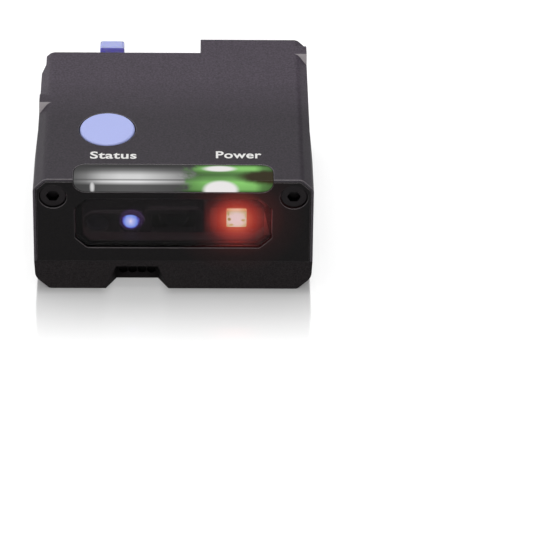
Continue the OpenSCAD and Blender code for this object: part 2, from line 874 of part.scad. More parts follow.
module front_screws() {
  color("#1a1a1a") for (s = [-1, 1]) {
    translate([s * front_x, front_seat, front_z]) rotate([90, 0, 0])
      screw(front_d / 2, front_len, front_head_d / 2, front_head_h, front_d * 0.46);
  }
}

module base_screws() {
  r = base_d / 2;
  head = base_head_d / 2;
  set = fit;
  color("#2a2a2a") for (s = [-1, 1], y = base_y) {
    translate([s * base_x, y, set]) difference() {
      rotate_extrude()
        polygon([[0, 0], [head, 0], [r, head - r], [r, base_len - set], [0, base_len - set]]);
      translate([0, 0, -over]) cylinder(r = r * 0.7, h = over + head - r, $fn = 6);
    }
  }
}

module mounting_inserts() {
  color("#b8953f") for (s = [-1, 1]) {
    translate([s * mount_pitch / 2, 0, 0]) difference() {
      cylinder(d = insert_d, h = insert_len);
      translate([0, 0, -over]) cylinder(d = mount_d, h = insert_len + 2 * over);
    }
  }
}

module engine_chassis() {
  slice = 0.01;
  color("#1b1a1b") difference() {
    union() {
      block([-chassis_w / 2, y_engine, z_chassis], [chassis_w / 2, y_engine_back, z_board]);
      for (s = [-1, 1]) {
        block(
          [s > 0 ? ear_x0 - over : -ear_x1, post_y - ear_end, z_ear],
          [s > 0 ? ear_x1 : over - ear_x0, engine_screw_y + ear_end, z_board]
        );
      }
      // Raised frames round the camera and the aimers
      translate([0, 0, z_axis]) along_y(y_engine - frame_t, frame_t + over) {
        rounded_rect(aperture_w + 2 * camera_bezel, aperture_h + 2 * camera_bezel, camera_bezel);
        translate([-(aimer_outer + aimer_inner) / 2, 0]) rounded_rect(
          aimer_outer - aimer_inner + 2 * (aimer_r + frame_t),
          2 * (aimer_r + frame_t), aimer_r + frame_t / 2);
      }
    }
    // Open space behind the optics
    block(
      [cavity_wall - chassis_w / 2, y_cavity, z_chassis + cavity_wall],
      [chassis_w / 2 - cavity_wall, y_engine_back + over, z_board + over]
    );
    translate([0, 0, z_axis]) {
      along_y(y_engine - over, barrel_front + 2 * over)
        rounded_rect(aperture_w, aperture_h, camera_bezel / 2);
      along_y(y_engine + barrel_front, y_cavity - y_engine) circle(barrel_r + thread_gap);
      for (x = [aimer_outer, aimer_inner]) translate([-x, 0, 0]) {
        along_y(y_engine - over, over + aimer_seat) circle(aimer_r + fit);
        along_y(y_engine, y_cavity - y_engine + over) circle(aimer_r - 4 * fit);
      }
      // Sloping pocket of the illumination LED, and the slot of its board
      translate([led_x, 0, 0]) {
        hull() {
          along_y(y_engine - slice, slice) square([pocket_w, pocket_h], center = true);
          along_y(y_engine + pocket_d, slice)
            square([pocket_w - 2 * pocket_taper, pocket_h - pocket_taper], center = true);
        }
        block(
          [-led_board[0] / 2 - fit, y_engine + pocket_d, -led_board[2] / 2],
          [led_board[0] / 2 + fit, y_engine + pocket_d + led_board[1] + 2 * fit, body_h]
        );
      }
    }
    for (s = [-1, 1]) {
      translate([s * ear_x, post_y, z_ear - over])
        cylinder(r = engine_screw_r + hole_gap, h = z_board - z_ear + 2 * over);
      translate([s * ear_x, engine_screw_y, z_ear + over])
        cylinder(r = engine_screw_r + thread_gap, h = z_board - z_ear);
    }
  }
}

module engine_board() {
  mw = chassis_w / 2;
  y0 = y_engine + board_set;
  y1 = y_engine_back;
  y_slot = y_engine + board_slot_d;
  y_wide = y_engine_back - board_back;
  ear_y0 = post_y - ear_end;
  ear_y1 = engine_screw_y + ear_end;
  color("#3a3838") translate([0, 0, z_board]) difference() {
    union() {
      block([-mw, y0, 0], [mw, y1, board_t]);
      block([-ear_x1, ear_y0, 0], [ear_x1, ear_y1, board_t]);
    }
    // Cut-out over the camera and the illumination LED, and the slot to the front edge
    block([-board_left, y_slot, -over], [board_right, y_wide, board_t + over]);
    block([-board_slot, y0 - over, -over], [board_slot, y_wide, board_t + over]);
    for (s = [-1, 1], y = [post_y, engine_screw_y])
      translate([s * ear_x, y, -over]) cylinder(r = engine_screw_r + hole_gap, h = board_t + 2 * over);
  }
}

module engine_screws() {
  color("silver") for (s = [-1, 1]) {
    translate([s * ear_x, engine_screw_y, z_board_top])
      screw(engine_screw_r, engine_screw_len, engine_head_r, engine_head_h, engine_head_r / 2);
  }
}

module engine_mount_screws() {
  color("silver") for (s = [-1, 1]) {
    translate([s * ear_x, post_y, z_board_top])
      screw(engine_screw_r, z_board_top - z_ear + post_bite, engine_head_r, engine_head_h, engine_head_r / 2);
  }
}

module camera_barrel() {
  y0 = y_engine + barrel_front + fit;
  y1 = y_cavity - sensor[1] - barrel_gap;
  color("#101010") translate([0, 0, z_axis]) difference() {
    along_y(y0, y1 - y0) circle(barrel_r);
    along_y(y_engine, over + barrel_front + lens_t) circle(lens_r + thread_gap);
    along_y(y_engine, y_cavity - y_engine) circle(stop_r);
  }
}

module camera_lens() {
  dome_r = (lens_r * lens_r + lens_dome * lens_dome) / (2 * lens_dome);
  y_lens = y_engine + barrel_front + over - lens_dome;
  color("#9fb4d8") translate([0, y_lens, z_axis]) rotate([-90, 0, 0]) intersection() {
    cylinder(r = lens_r, h = lens_t);
    translate([0, 0, dome_r]) sphere(dome_r, $fn = 64);
  }
}

module image_sensor() {
  color("#20242c") translate([-sensor[0] / 2, y_cavity - sensor[1], z_axis - sensor[2] / 2]) cube(sensor);
}

module sensor_board() {
  color("#1f3d2b") block(
    [cavity_wall + 2 * fit - chassis_w / 2, y_cavity, z_chassis + cavity_wall],
    [sensor_board_x, y_cavity + sensor_board_t, z_board - 2 * fit]
  );
}

// Plano-convex lens against its seat
module aimer_lens(x) {
  dome_r = (aimer_r * aimer_r + aimer_dome * aimer_dome) / (2 * aimer_dome);
  y_lens = y_engine + aimer_seat - aimer_t;
  color("#c8d2f0") translate([-x, y_lens, z_axis]) rotate([-90, 0, 0]) intersection() {
    cylinder(r = aimer_r, h = aimer_t);
    translate([0, 0, dome_r]) sphere(dome_r, $fn = 64);
  }
}

module aimer_lens_outer() { aimer_lens(aimer_outer); }

module aimer_lens_inner() { aimer_lens(aimer_inner); }

module aimer_leds() {
  color("#3d7bff") for (x = [aimer_outer, aimer_inner]) {
    translate([-x - aimer_led[0] / 2, y_cavity - aimer_led[1], z_axis - aimer_led[2] / 2]) cube(aimer_led);
  }
}

module illumination_led() {
  color("#ff3b30") translate([led_x - led_w / 2, y_engine + pocket_d + fit - led_t, z_axis - led_w / 2])
    cube([led_w, led_t, led_w]);
}

module illumination_board() {
  color("#d8d4c8") translate([led_x - led_board[0] / 2, y_engine + pocket_d + fit, z_axis - led_board[2] / 2])
    cube(led_board);
}

module processor_chip() {
  color("#161616") translate([processor_x, y_engine_back - board_back + part_gap, z_board_top])
    cube([processor_w, processor_w, chip_h]);
}

module board_components() {
  color("#8a7a5c") {
    for (i = [0:cap_count - 1], back = cap_back)
      translate([cap_in - chassis_w / 2 + i * cap_pitch, y_engine_back - back, z_board_top]) cube(cap);
    translate([coil_in - chassis_w / 2, y_engine_back - coil_back, z_board_top])
      cube([coil_w, coil_w, part_h]);
    translate([processor_x + processor_w + memory_gap, y_engine_back - board_back + memory_gap, z_board_top])
      cube([memory[0], memory[1], chip_h]);
  }
}

module flex_connectors() {
  color("#efece4") {
    flex_connector(engine_flex_x, engine_flex_w, conn_y_engine, z_board_top, true);
    flex_connector(engine_flex_x, engine_flex_w, conn_y_iface, z_iface_top, false);
    flex_connector(ind_flex_x, ind_flex_w, conn_y_ind, z_ind, true);
    flex_connector(ind_flex_x, ind_flex_w, conn_y_iface, z_iface_top, false);
  }
}

module engine_flex() {
  color("#c98a3c") ribbon(engine_flex_x, engine_flex_w, conn_y_engine + conn_d - flex_grip,
    z_board_top + flex_rise, conn_y_iface + flex_grip, z_iface_top + flex_rise);
}

module interface_board() {
  color("#1f3d2b") difference() {
    block([-iface_w / 2, iface_y0, z_iface], [iface_w / 2, iface_y1, z_iface_top]);
    for (p = iface_screws) {
      translate([p[0], p[1], z_iface - over]) cylinder(r = ind_screw_r + hole_gap, h = iface_t + 2 * over);
    }
  }
}

module interface_chip() {
  x_mid = (iface_screws[0][0] + iface_screws[1][0]) / 2;
  y_chip = iface_y1 - iface_chip_in - iface_chip[1];
  color("#161616") translate([x_mid - iface_chip[0] / 2, y_chip, z_iface_top]) cube(iface_chip);
}

module interface_screws() {
  color("silver") for (p = iface_screws) {
    translate([p[0], p[1], z_iface_top])
      screw(ind_screw_r, iface_t + iface_rise, ind_head_r, ind_head_h, ind_head_r / 2);
  }
}

module cable_socket() {
  color("#161616") translate([socket_x, 0, z_iface_top]) difference() {
    block([-socket_w / 2, y_step - socket_d, 0], [socket_w / 2, y_step, socket_h]);
    block(
      [socket_wall - socket_w / 2, y_step - socket_d + socket_back, socket_wall],
      [socket_w / 2 - socket_wall, y_step + over, socket_h - socket_wall]
    );
  }
}

module socket_contacts() {
  y0 = y_step - socket_d + socket_back;
  color("#d8b04a") for (i = [0:contact_count - 1], s = [-1, 1]) {
    translate([
      socket_x + (i - (contact_count - 1) / 2) * contact_pitch - contact[0] / 2,
      y0,
      z_iface_top + socket_h / 2 + s * contact_row - contact[2] / 2
    ]) cube(contact);
  }
}

module latch_lever() {
  c = latch_round;
  z_neck = pivot_z + latch_neck;
  y_arm0 = pivot_y - latch_arm_t / 2;
  y_arm1 = pivot_y + latch_arm_t / 2;
  color("#7f8ce0") difference() {
    union() {
      // Finger tab above the pivot, with its upper corners rounded
      intersection() {
        along_x(latch_x, latch_w) polygon([
          [latch_y0, pivot_z], [latch_y0, latch_z1 - c], [latch_y0 + c, latch_z1], [latch_y1 - c, latch_z1],
          [latch_y1, latch_z1 - c], [latch_y1, z_neck], [pivot_y + latch_heel, pivot_z]
        ]);
        translate([latch_x, 0, 0]) along_y(latch_y0 - over, latch_t + 2 * over) polygon(rounded([
          [-latch_w / 2, pivot_z - over, 0], [latch_w / 2, pivot_z - over, 0],
          [latch_w / 2, latch_z1, latch_corner], [-latch_w / 2, latch_z1, latch_corner]
        ], edge_steps));
      }
      along_x(latch_x, latch_w) translate([pivot_y, pivot_z]) circle(pin_r + barrel_wall);
      // Hook below the pivot
      along_x(latch_x, latch_w) polygon([
        [y_arm0, pivot_z], [y_arm0, latch_z0 + c], [y_arm0 + c, latch_z0],
        [y_arm1, latch_z0], [y_arm1, pivot_z]
      ]);
    }
    along_x(latch_x, latch_w + 2 * over) translate([pivot_y, pivot_z]) circle(pin_r + pin_gap);
    // Slot for the spring's coil
    along_x(latch_x, spring_w) translate([pivot_y, pivot_z]) circle(pin_r + barrel_wall + 2 * fit);
  }
}

module latch_pin() {
  along = latch_w + 2 * (ear_gap + ear_t);
  color("silver") along_x(latch_x, along) translate([pivot_y, pivot_z]) circle(pin_r);
}

// Round wire swept along a path that runs across the X axis
module wire(path, r) {
  sides = 8;
  last = len(path) - 1;
  ax = [1, 0, 0];
  rings = [for (i = [0:last])
    let (
      t0 = path[min(last, i + 1)] - path[max(0, i - 1)],
      t = t0 / norm(t0),
      n0 = ax - (ax * t) * t,
      n = n0 / norm(n0),
      b = cross(t, n)
    )
    for (k = [0:sides - 1]) path[i] + r * (cos(k * 360 / sides) * n + sin(k * 360 / sides) * b)
  ];
  skin = [for (i = [0:last - 1], k = [0:sides - 1])
    [i * sides + k, i * sides + (k + 1) % sides, (i + 1) * sides + (k + 1) % sides, (i + 1) * sides + k]];
  start = [for (k = [0:sides - 1]) sides - 1 - k];
  end = [for (k = [0:sides - 1]) last * sides + k];
  polyhedron(rings, concat([start], skin, [end]));
}

module latch_spring() {
  steps = coil_sweep / coil_turn;
  coil = [for (i = [0:steps])
    let (a = 180 + i * coil_turn)
    [latch_x + coil_half * (2 * i / steps - 1), pivot_y + coil_r * cos(a), pivot_z + coil_r * sin(a)]];
  up = [latch_x - coil_half, pivot_y - coil_r, pivot_z + spring_leg];
  back = [latch_x + coil_half, y_step + wire_r, pivot_z + coil_r];
  color("silver") wire(concat([up], coil, [back]), wire_r);
}

base_tray();
housing();
front_cover();
scan_window();
window_gasket();
light_pipe();
trigger_button();
switch_plunger();
switch_body();
indicator_board();
status_led();
power_led();
indicator_screws();
indicator_flex();
front_screws();
base_screws();
mounting_inserts();
engine_chassis();
engine_board();
engine_screws();
engine_mount_screws();
camera_barrel();
camera_lens();
image_sensor();
sensor_board();
aimer_lens_outer();
aimer_lens_inner();
aimer_leds();
illumination_led();
illumination_board();
processor_chip();
board_components();
flex_connectors();
engine_flex();
interface_board();
interface_chip();
interface_screws();
cable_socket();
socket_contacts();
latch_lever();
latch_pin();
latch_spring();
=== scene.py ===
"""Fixed barcode reader: finishes, printed legends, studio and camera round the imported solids."""

import logging
import math
from dataclasses import dataclass
from enum import Enum
from typing import Any

import bpy
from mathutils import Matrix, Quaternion, Vector


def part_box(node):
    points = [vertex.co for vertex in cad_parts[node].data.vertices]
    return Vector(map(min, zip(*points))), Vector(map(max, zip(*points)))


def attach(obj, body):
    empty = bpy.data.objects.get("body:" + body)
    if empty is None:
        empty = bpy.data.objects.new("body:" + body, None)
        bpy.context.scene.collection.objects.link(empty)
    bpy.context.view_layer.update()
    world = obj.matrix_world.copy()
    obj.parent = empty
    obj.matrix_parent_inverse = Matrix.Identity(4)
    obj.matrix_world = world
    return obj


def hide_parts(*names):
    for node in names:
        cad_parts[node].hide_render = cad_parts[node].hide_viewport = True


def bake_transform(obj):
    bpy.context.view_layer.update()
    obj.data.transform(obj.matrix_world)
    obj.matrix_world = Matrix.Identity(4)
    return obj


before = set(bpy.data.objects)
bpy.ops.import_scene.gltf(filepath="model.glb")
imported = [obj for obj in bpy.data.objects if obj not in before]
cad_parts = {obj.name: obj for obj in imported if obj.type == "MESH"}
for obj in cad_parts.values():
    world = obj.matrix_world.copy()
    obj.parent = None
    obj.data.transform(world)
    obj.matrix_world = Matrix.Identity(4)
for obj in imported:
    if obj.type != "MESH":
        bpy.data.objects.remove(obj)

LOG = logging.getLogger("reader")
MM = 0.001
WHITE = (1.0, 1.0, 1.0, 1.0)
# Width of the bumps by which a ring of light strays from a circle
STRAY_MM = 0.6
# Edge of a small mark, as shares of its size
MARK_FADE = (1.25, 0.75)
# Cosines between which a rounded normal has left its face far enough to count as an edge
EDGE_TURN = (0.985, 0.9)
# Way in which the edges look that catch the light first, and cosines between which an edge looks that way;
# such edges get the painted edge highlight
EDGE_WAY = (0.0, -0.6, 0.8)
EDGE_RISE = (0.35, 0.97)
# Patches over which moulded plastic goes from dull to glossy
PATCH_MM = 9.0
# Noise values between which a grain goes from dark to light
GRAIN_SPAN = (0.25, 0.75)
# Cosines between which a face begins to count as looking one way, for painted light and shade on such faces
FACET_TURN = (0.94, 0.985)
# Share of the colour that the painted shade leaves in the deepest hollow
HOLLOW_KEPT = 0.1


def linear(code: str) -> tuple[float, float, float, float]:
    """Turns an sRGB hex colour into linear RGBA.

    Args:
        code: Colour such as "#1e1c1d".

    Returns:
        Linear red, green, blue and an alpha of 1.
    """
    parts = [int(code[i:i + 2], 16) / 255 for i in (1, 3, 5)]
    red, green, blue = (c / 12.92 if c <= 0.04045 else ((c + 0.055) / 1.055) ** 2.4 for c in parts)
    return red, green, blue, 1.0


def add_node(
    tree: bpy.types.NodeTree,
    kind: str,
    settings: dict[Any, Any] | None = None,
    links: dict[Any, bpy.types.NodeSocket] | None = None,
) -> bpy.types.Node:
    """Adds one node with its settings and incoming links.

    Args:
        tree: Node tree that takes the node.
        kind: Blender's type name of the node.
        settings: Values by property name, by input socket, or "stops" for a ramp's stops.
        links: Output sockets by the input socket that they feed.

    Returns:
        The new node.
    """
    node = tree.nodes.new(kind)
    for key, value in (settings or {}).items():
        if key == "stops":
            elements = node.color_ramp.elements
            while len(elements) < len(value):
                elements.new(1.0)
            for element, (place, colour) in zip(elements, value):
                element.position = place
                element.color = colour if isinstance(colour, tuple) else (colour, colour, colour, 1.0)
        elif isinstance(key, str) and hasattr(node, key):
            setattr(node, key, value)
        else:
            node.inputs[key].default_value = value
    for key, source in (links or {}).items():
        tree.links.new(source, node.inputs[key])
    return node


class Body(Enum):
    """The moving bodies of the part."""

    CASE = "case"
    BUTTON = "button"
    LATCH = "latch"


class Edge(Enum):
    """How far the corners of a piece are broken, in millimetres."""

    NONE = 0.0
    FINE = 0.05
    MOULDED = 0.15
    SOFT = 0.28


@dataclass(frozen=True)
class Finish:
    """A material and how its surface was made.

    Attributes:
        name: Real material and process.
        colour: Base colour in sRGB hex.
        roughness: Roughness of the bare surface.
        ior: Index of refraction.
        metallic: 1 for a bare metal.
        specular: Share of the reflection that the texture leaves, 0.5 for a plain surface.
    """

    name: str
    colour: str
    roughness: float
    ior: float = 1.5
    metallic: float = 0.0
    specular: float = 0.5

    def material(self) -> bpy.types.Material:
        """Gives the Blender material, made on first use.

        Returns:
            The material with its nodes.
        """
        known = bpy.data.materials.get(self.name)
        if known:
            return known
        material = bpy.data.materials.new(self.name)
        material.use_nodes = True
        tree = material.node_tree
        tree.nodes.clear()
        shader = add_node(tree, "ShaderNodeBsdfPrincipled", {
            "Base Color": linear(self.colour), "Roughness": self.roughness, "IOR": self.ior,
            "Metallic": self.metallic, "Specular IOR Level": self.specular,
        })
        add_node(tree, "ShaderNodeOutputMaterial", links={"Surface": shader.outputs["BSDF"]})
        self.detail(tree, shader)
        return material

    def detail(self, tree: bpy.types.NodeTree, shader: bpy.types.Node) -> None:
        """Adds the surface's own pattern; a plain finish has none.

        Args:
            tree: Node tree of the material.
            shader: Its principled shader.
        """

    def place(self, tree: bpy.types.NodeTree) -> bpy.types.NodeSocket:
        """Gives the place on the part, in metres.

        Args:
            tree: Node tree that takes the node.

        Returns:
            The socket with that place.
        """
        return add_node(tree, "ShaderNodeTexCoord").outputs["Object"]

    def rings(
        self,
        tree: bpy.types.NodeTree,
        middle_mm: tuple[float, float, float],
        bands: tuple[tuple[float, str], ...],
        ragged_mm: float,
        lean: float = 0.0,
        tall: float = 1.0,
    ) -> bpy.types.NodeSocket:
        """Gives colours in rings round an axis through a point.

        Args:
            tree: Node tree that takes the nodes.
            middle_mm: The point.
            bands: Radius in mm and colour of each ring, from the middle outwards.
            ragged_mm: How far the rings stray from circles.
            lean: How far the axis rises per length towards the front; it is level for 0.
            tall: Height of a ring for its width.

        Returns:
            The socket with the colour.
        """
        place = self.place(tree)
        middle_x, middle_y, middle_z = (c * MM for c in middle_mm)
        part = add_node(tree, "ShaderNodeSeparateXYZ", links={"Vector": place})
        level = add_node(tree, "ShaderNodeMath", {"operation": "MULTIPLY_ADD", 1: lean}, {
            0: part.outputs["Y"], 2: part.outputs["Z"],
        })
        height = add_node(tree, "ShaderNodeMath", {"operation": "DIVIDE", 1: tall}, {
            0: level.outputs["Value"],
        })
        flat = add_node(tree, "ShaderNodeCombineXYZ", links={
            "X": part.outputs["X"], "Z": height.outputs["Value"],
        })
        middle = (middle_x, 0.0, (middle_z + lean * middle_y) / tall)
        away = add_node(tree, "ShaderNodeVectorMath", {"operation": "DISTANCE", 1: middle}, {
            0: flat.outputs["Vector"],
        })
        uneven = add_node(tree, "ShaderNodeTexNoise", {"Scale": 1 / (STRAY_MM * MM), "Detail": 2.0}, {
            "Vector": place,
        })
        stray = add_node(tree, "ShaderNodeMapRange", {
            "To Min": -ragged_mm * MM, "To Max": ragged_mm * MM,
        }, {"Value": uneven.outputs["Fac"]})
        radius = add_node(tree, "ShaderNodeMath", {"operation": "ADD"}, {
            0: away.outputs["Value"], 1: stray.outputs["Result"],
        })
        share = add_node(tree, "ShaderNodeMapRange", {"From Max": bands[-1][0] * MM}, {
            "Value": radius.outputs["Value"],
        })
        ramp = add_node(tree, "ShaderNodeValToRGB", {
            "stops": [(mm / bands[-1][0], linear(code)) for mm, code in bands],
        }, {"Fac": share.outputs["Result"]})
        return ramp.outputs["Color"]

    def marks(
        self,
        tree: bpy.types.NodeTree,
        colour: bpy.types.NodeSocket,
        spots: tuple[tuple[float, float, float, float, str], ...],
    ) -> bpy.types.NodeSocket:
        """Lays small ovals over a colour, as they show from the front.

        Args:
            tree: Node tree that takes the nodes.
            colour: The colour under them.
            spots: X and Z of each oval's middle, its half width and half height in mm, and its colour.

        Returns:
            The socket with the colour.
        """
        for x_mm, z_mm, wide_mm, tall_mm, code in spots:
            away = add_node(tree, "ShaderNodeVectorMath", {
                "operation": "MULTIPLY_ADD", 1: (1 / (wide_mm * MM), 0.0, 1 / (tall_mm * MM)),
                2: (-x_mm / wide_mm, 0.0, -z_mm / tall_mm),
            }, {0: self.place(tree)})
            far = add_node(tree, "ShaderNodeVectorMath", {"operation": "LENGTH"}, {0: away.outputs["Vector"]})
            share = add_node(tree, "ShaderNodeMapRange", {
                "From Min": MARK_FADE[0], "From Max": MARK_FADE[1],
            }, {"Value": far.outputs["Value"]})
            colour = add_node(tree, "ShaderNodeMix", {"data_type": "RGBA", 7: linear(code)}, {
                0: share.outputs["Result"], 6: colour,
            }).outputs[2]
        return colour

    def upper_edges(
        self, tree: bpy.types.NodeTree, wide_mm: float,
    ) -> tuple[bpy.types.NodeSocket, bpy.types.NodeSocket]:
        """Finds the edges that look up and forward, which catch the light first.

        Args:
            tree: Node tree that takes the nodes.
            wide_mm: Width of an edge.

        Returns:
            The socket with 1 on such an edge and 0 elsewhere, and the one with the rounded normal.
        """
        turned = add_node(tree, "ShaderNodeBevel", {"samples": 6, "Radius": wide_mm * MM}).outputs["Normal"]
        plain = add_node(tree, "ShaderNodeNewGeometry").outputs["Normal"]
        same = add_node(tree, "ShaderNodeVectorMath", {"operation": "DOT_PRODUCT"}, {0: turned, 1: plain})
        edges = add_node(tree, "ShaderNodeMapRange", {"From Min": EDGE_TURN[0], "From Max": EDGE_TURN[1]}, {
            "Value": same.outputs["Value"],
        })
        rise = add_node(tree, "ShaderNodeVectorMath", {"operation": "DOT_PRODUCT", 1: EDGE_WAY}, {0: turned})
        upper = add_node(tree, "ShaderNodeMapRange", {"From Min": EDGE_RISE[0], "From Max": EDGE_RISE[1]}, {
            "Value": rise.outputs["Value"],
        })
        share = add_node(tree, "ShaderNodeMath", {"operation": "MULTIPLY"}, {
            0: edges.outputs["Result"], 1: upper.outputs["Result"],
        })
        return share.outputs["Value"], turned


@dataclass(frozen=True)
class MouldedPlastic(Finish):
    """Injection-moulded plastic with the texture of its mould.

    Attributes:
        grain_mm: Width of one grain of the mould's texture.
        depth_mm: Height of the texture.
        mottle: How far the colour strays from grain to grain.
        drift: How far the roughness strays over the surface.
        facet: Colour of the faces that look one way, painted to show how the light falls on them; the plain
            colour where left empty.
        facet_way: Direction in which those faces look.
        hollow_mm: Reach within which corners and hollows are painted darker, as painted shade; 0 for none.
        hollow_open: Open share of the view at which that painted shade is darkest, and from which it isn't
            darker.
        hollow_own: Whether only the piece's own faces make a hollow.
        rear: How many times as light the colour is painted towards the rear, as painted light.
        rear_mm: Y at which the colour begins to turn and Y at which it has turned.
        edge_highlight: Painted highlight on the upper edges, which face the front lamp; the plain colour
            where left empty.
        edge_highlight_mm: Width of those edges.
        sheer: Share of the light that scatters inside the resin.
        sheer_mm: How far red, green and blue light travel in it.
    """

    grain_mm: float = 0.3
    depth_mm: float = 0.02
    mottle: float = 0.2
    drift: float = 0.08
    facet: str = ""
    facet_way: tuple[float, float, float] = (0.0, -0.81, 0.59)
    hollow_mm: float = 0.0
    hollow_open: tuple[float, float] = (0.25, 0.8)
    hollow_own: bool = False
    rear: float = 1.0
    rear_mm: tuple[float, float] = (-3.0, 9.0)
    edge_highlight: str = ""
    edge_highlight_mm: float = 0.3
    sheer: float = 0.0
    sheer_mm: tuple[float, float, float] = (0.4, 0.4, 1.5)

    def detail(self, tree: bpy.types.NodeTree, shader: bpy.types.Node) -> None:
        """Adds grain to the colour and the normal, and drift to the roughness.

        Args:
            tree: Node tree of the material.
            shader: Its principled shader.
        """
        place = self.place(tree)
        grain = add_node(tree, "ShaderNodeTexNoise", {
            "Scale": 1 / (self.grain_mm * MM), "Detail": 3.0, "Roughness": 0.6,
        }, {"Vector": place})
        broad = add_node(tree, "ShaderNodeTexNoise", {"Scale": 1 / (PATCH_MM * MM), "Detail": 2.0}, {
            "Vector": place,
        })
        red, green, blue, _ = linear(self.colour)
        low, high = 1 - self.mottle, 1 + self.mottle
        ramp = add_node(tree, "ShaderNodeValToRGB", {"stops": [
            (GRAIN_SPAN[0], (red * low, green * low, blue * low, 1.0)),
            (GRAIN_SPAN[1], (red * high, green * high, blue * high, 1.0)),
        ]}, {"Fac": grain.outputs["Fac"]})
        rough = add_node(tree, "ShaderNodeMapRange", {
            "To Min": self.roughness - self.drift, "To Max": self.roughness + self.drift,
        }, {"Value": broad.outputs["Fac"]})
        bump = add_node(tree, "ShaderNodeBump", {"Strength": 0.6, "Distance": self.depth_mm * MM}, {
            "Height": grain.outputs["Fac"],
        })
        colour = ramp.outputs["Color"]
        # Painted light: the colour grows lighter towards the rear
        if self.rear != 1.0:
            part = add_node(tree, "ShaderNodeSeparateXYZ", links={"Vector": place})
            back = add_node(tree, "ShaderNodeMapRange", {
                "From Min": self.rear_mm[0] * MM, "From Max": self.rear_mm[1] * MM,
                "To Min": 1.0, "To Max": self.rear,
            }, {"Value": part.outputs["Y"]})
            colour = add_node(tree, "ShaderNodeVectorMath", {"operation": "SCALE"}, {
                0: colour, "Scale": back.outputs["Result"],
            }).outputs["Vector"]
        # Painted light and shade: faces that look one way take their own colour
        if self.facet:
            normal = add_node(tree, "ShaderNodeTexCoord").outputs["Normal"]
            turn = add_node(tree, "ShaderNodeVectorMath", {"operation": "DOT_PRODUCT", 1: self.facet_way}, {
                0: normal,
            })
            faces = add_node(tree, "ShaderNodeMapRange", {
                "From Min": FACET_TURN[0], "From Max": FACET_TURN[1],
            }, {"Value": turn.outputs["Value"]})
            colour = add_node(tree, "ShaderNodeMix", {"data_type": "RGBA", 7: linear(self.facet)}, {
                0: faces.outputs["Result"], 6: colour,
            }).outputs[2]
        # Painted highlight: edges that look up and forward get a lighter colour, shaded with their rounded
        # normal
        if self.edge_highlight:
            share, turned = self.upper_edges(tree, self.edge_highlight_mm)
            colour = add_node(tree, "ShaderNodeMix", {"data_type": "RGBA", 7: linear(self.edge_highlight)}, {
                0: share, 6: colour,
            }).outputs[2]
            tree.links.new(turned, bump.inputs["Normal"])
        # Painted shade: corners and hollows darkened from ambient occlusion
        if self.hollow_mm:
            hollow = add_node(tree, "ShaderNodeAmbientOcclusion", {
                "samples": 8, "only_local": self.hollow_own, "Distance": self.hollow_mm * MM,
            })
            open_share = add_node(tree, "ShaderNodeMapRange", {
                "From Min": self.hollow_open[0], "From Max": self.hollow_open[1], "To Min": HOLLOW_KEPT,
            }, {"Value": hollow.outputs["AO"]})
            colour = add_node(tree, "ShaderNodeVectorMath", {"operation": "SCALE"}, {
                0: colour, "Scale": open_share.outputs["Result"],
            }).outputs["Vector"]
        shader.inputs["Subsurface Weight"].default_value = self.sheer
        shader.inputs["Subsurface Radius"].default_value = self.sheer_mm
        shader.inputs["Subsurface Scale"].default_value = MM
        tree.links.new(colour, shader.inputs["Base Color"])
        tree.links.new(rough.outputs["Result"], shader.inputs["Roughness"])
        tree.links.new(bump.outputs["Normal"], shader.inputs["Normal"])


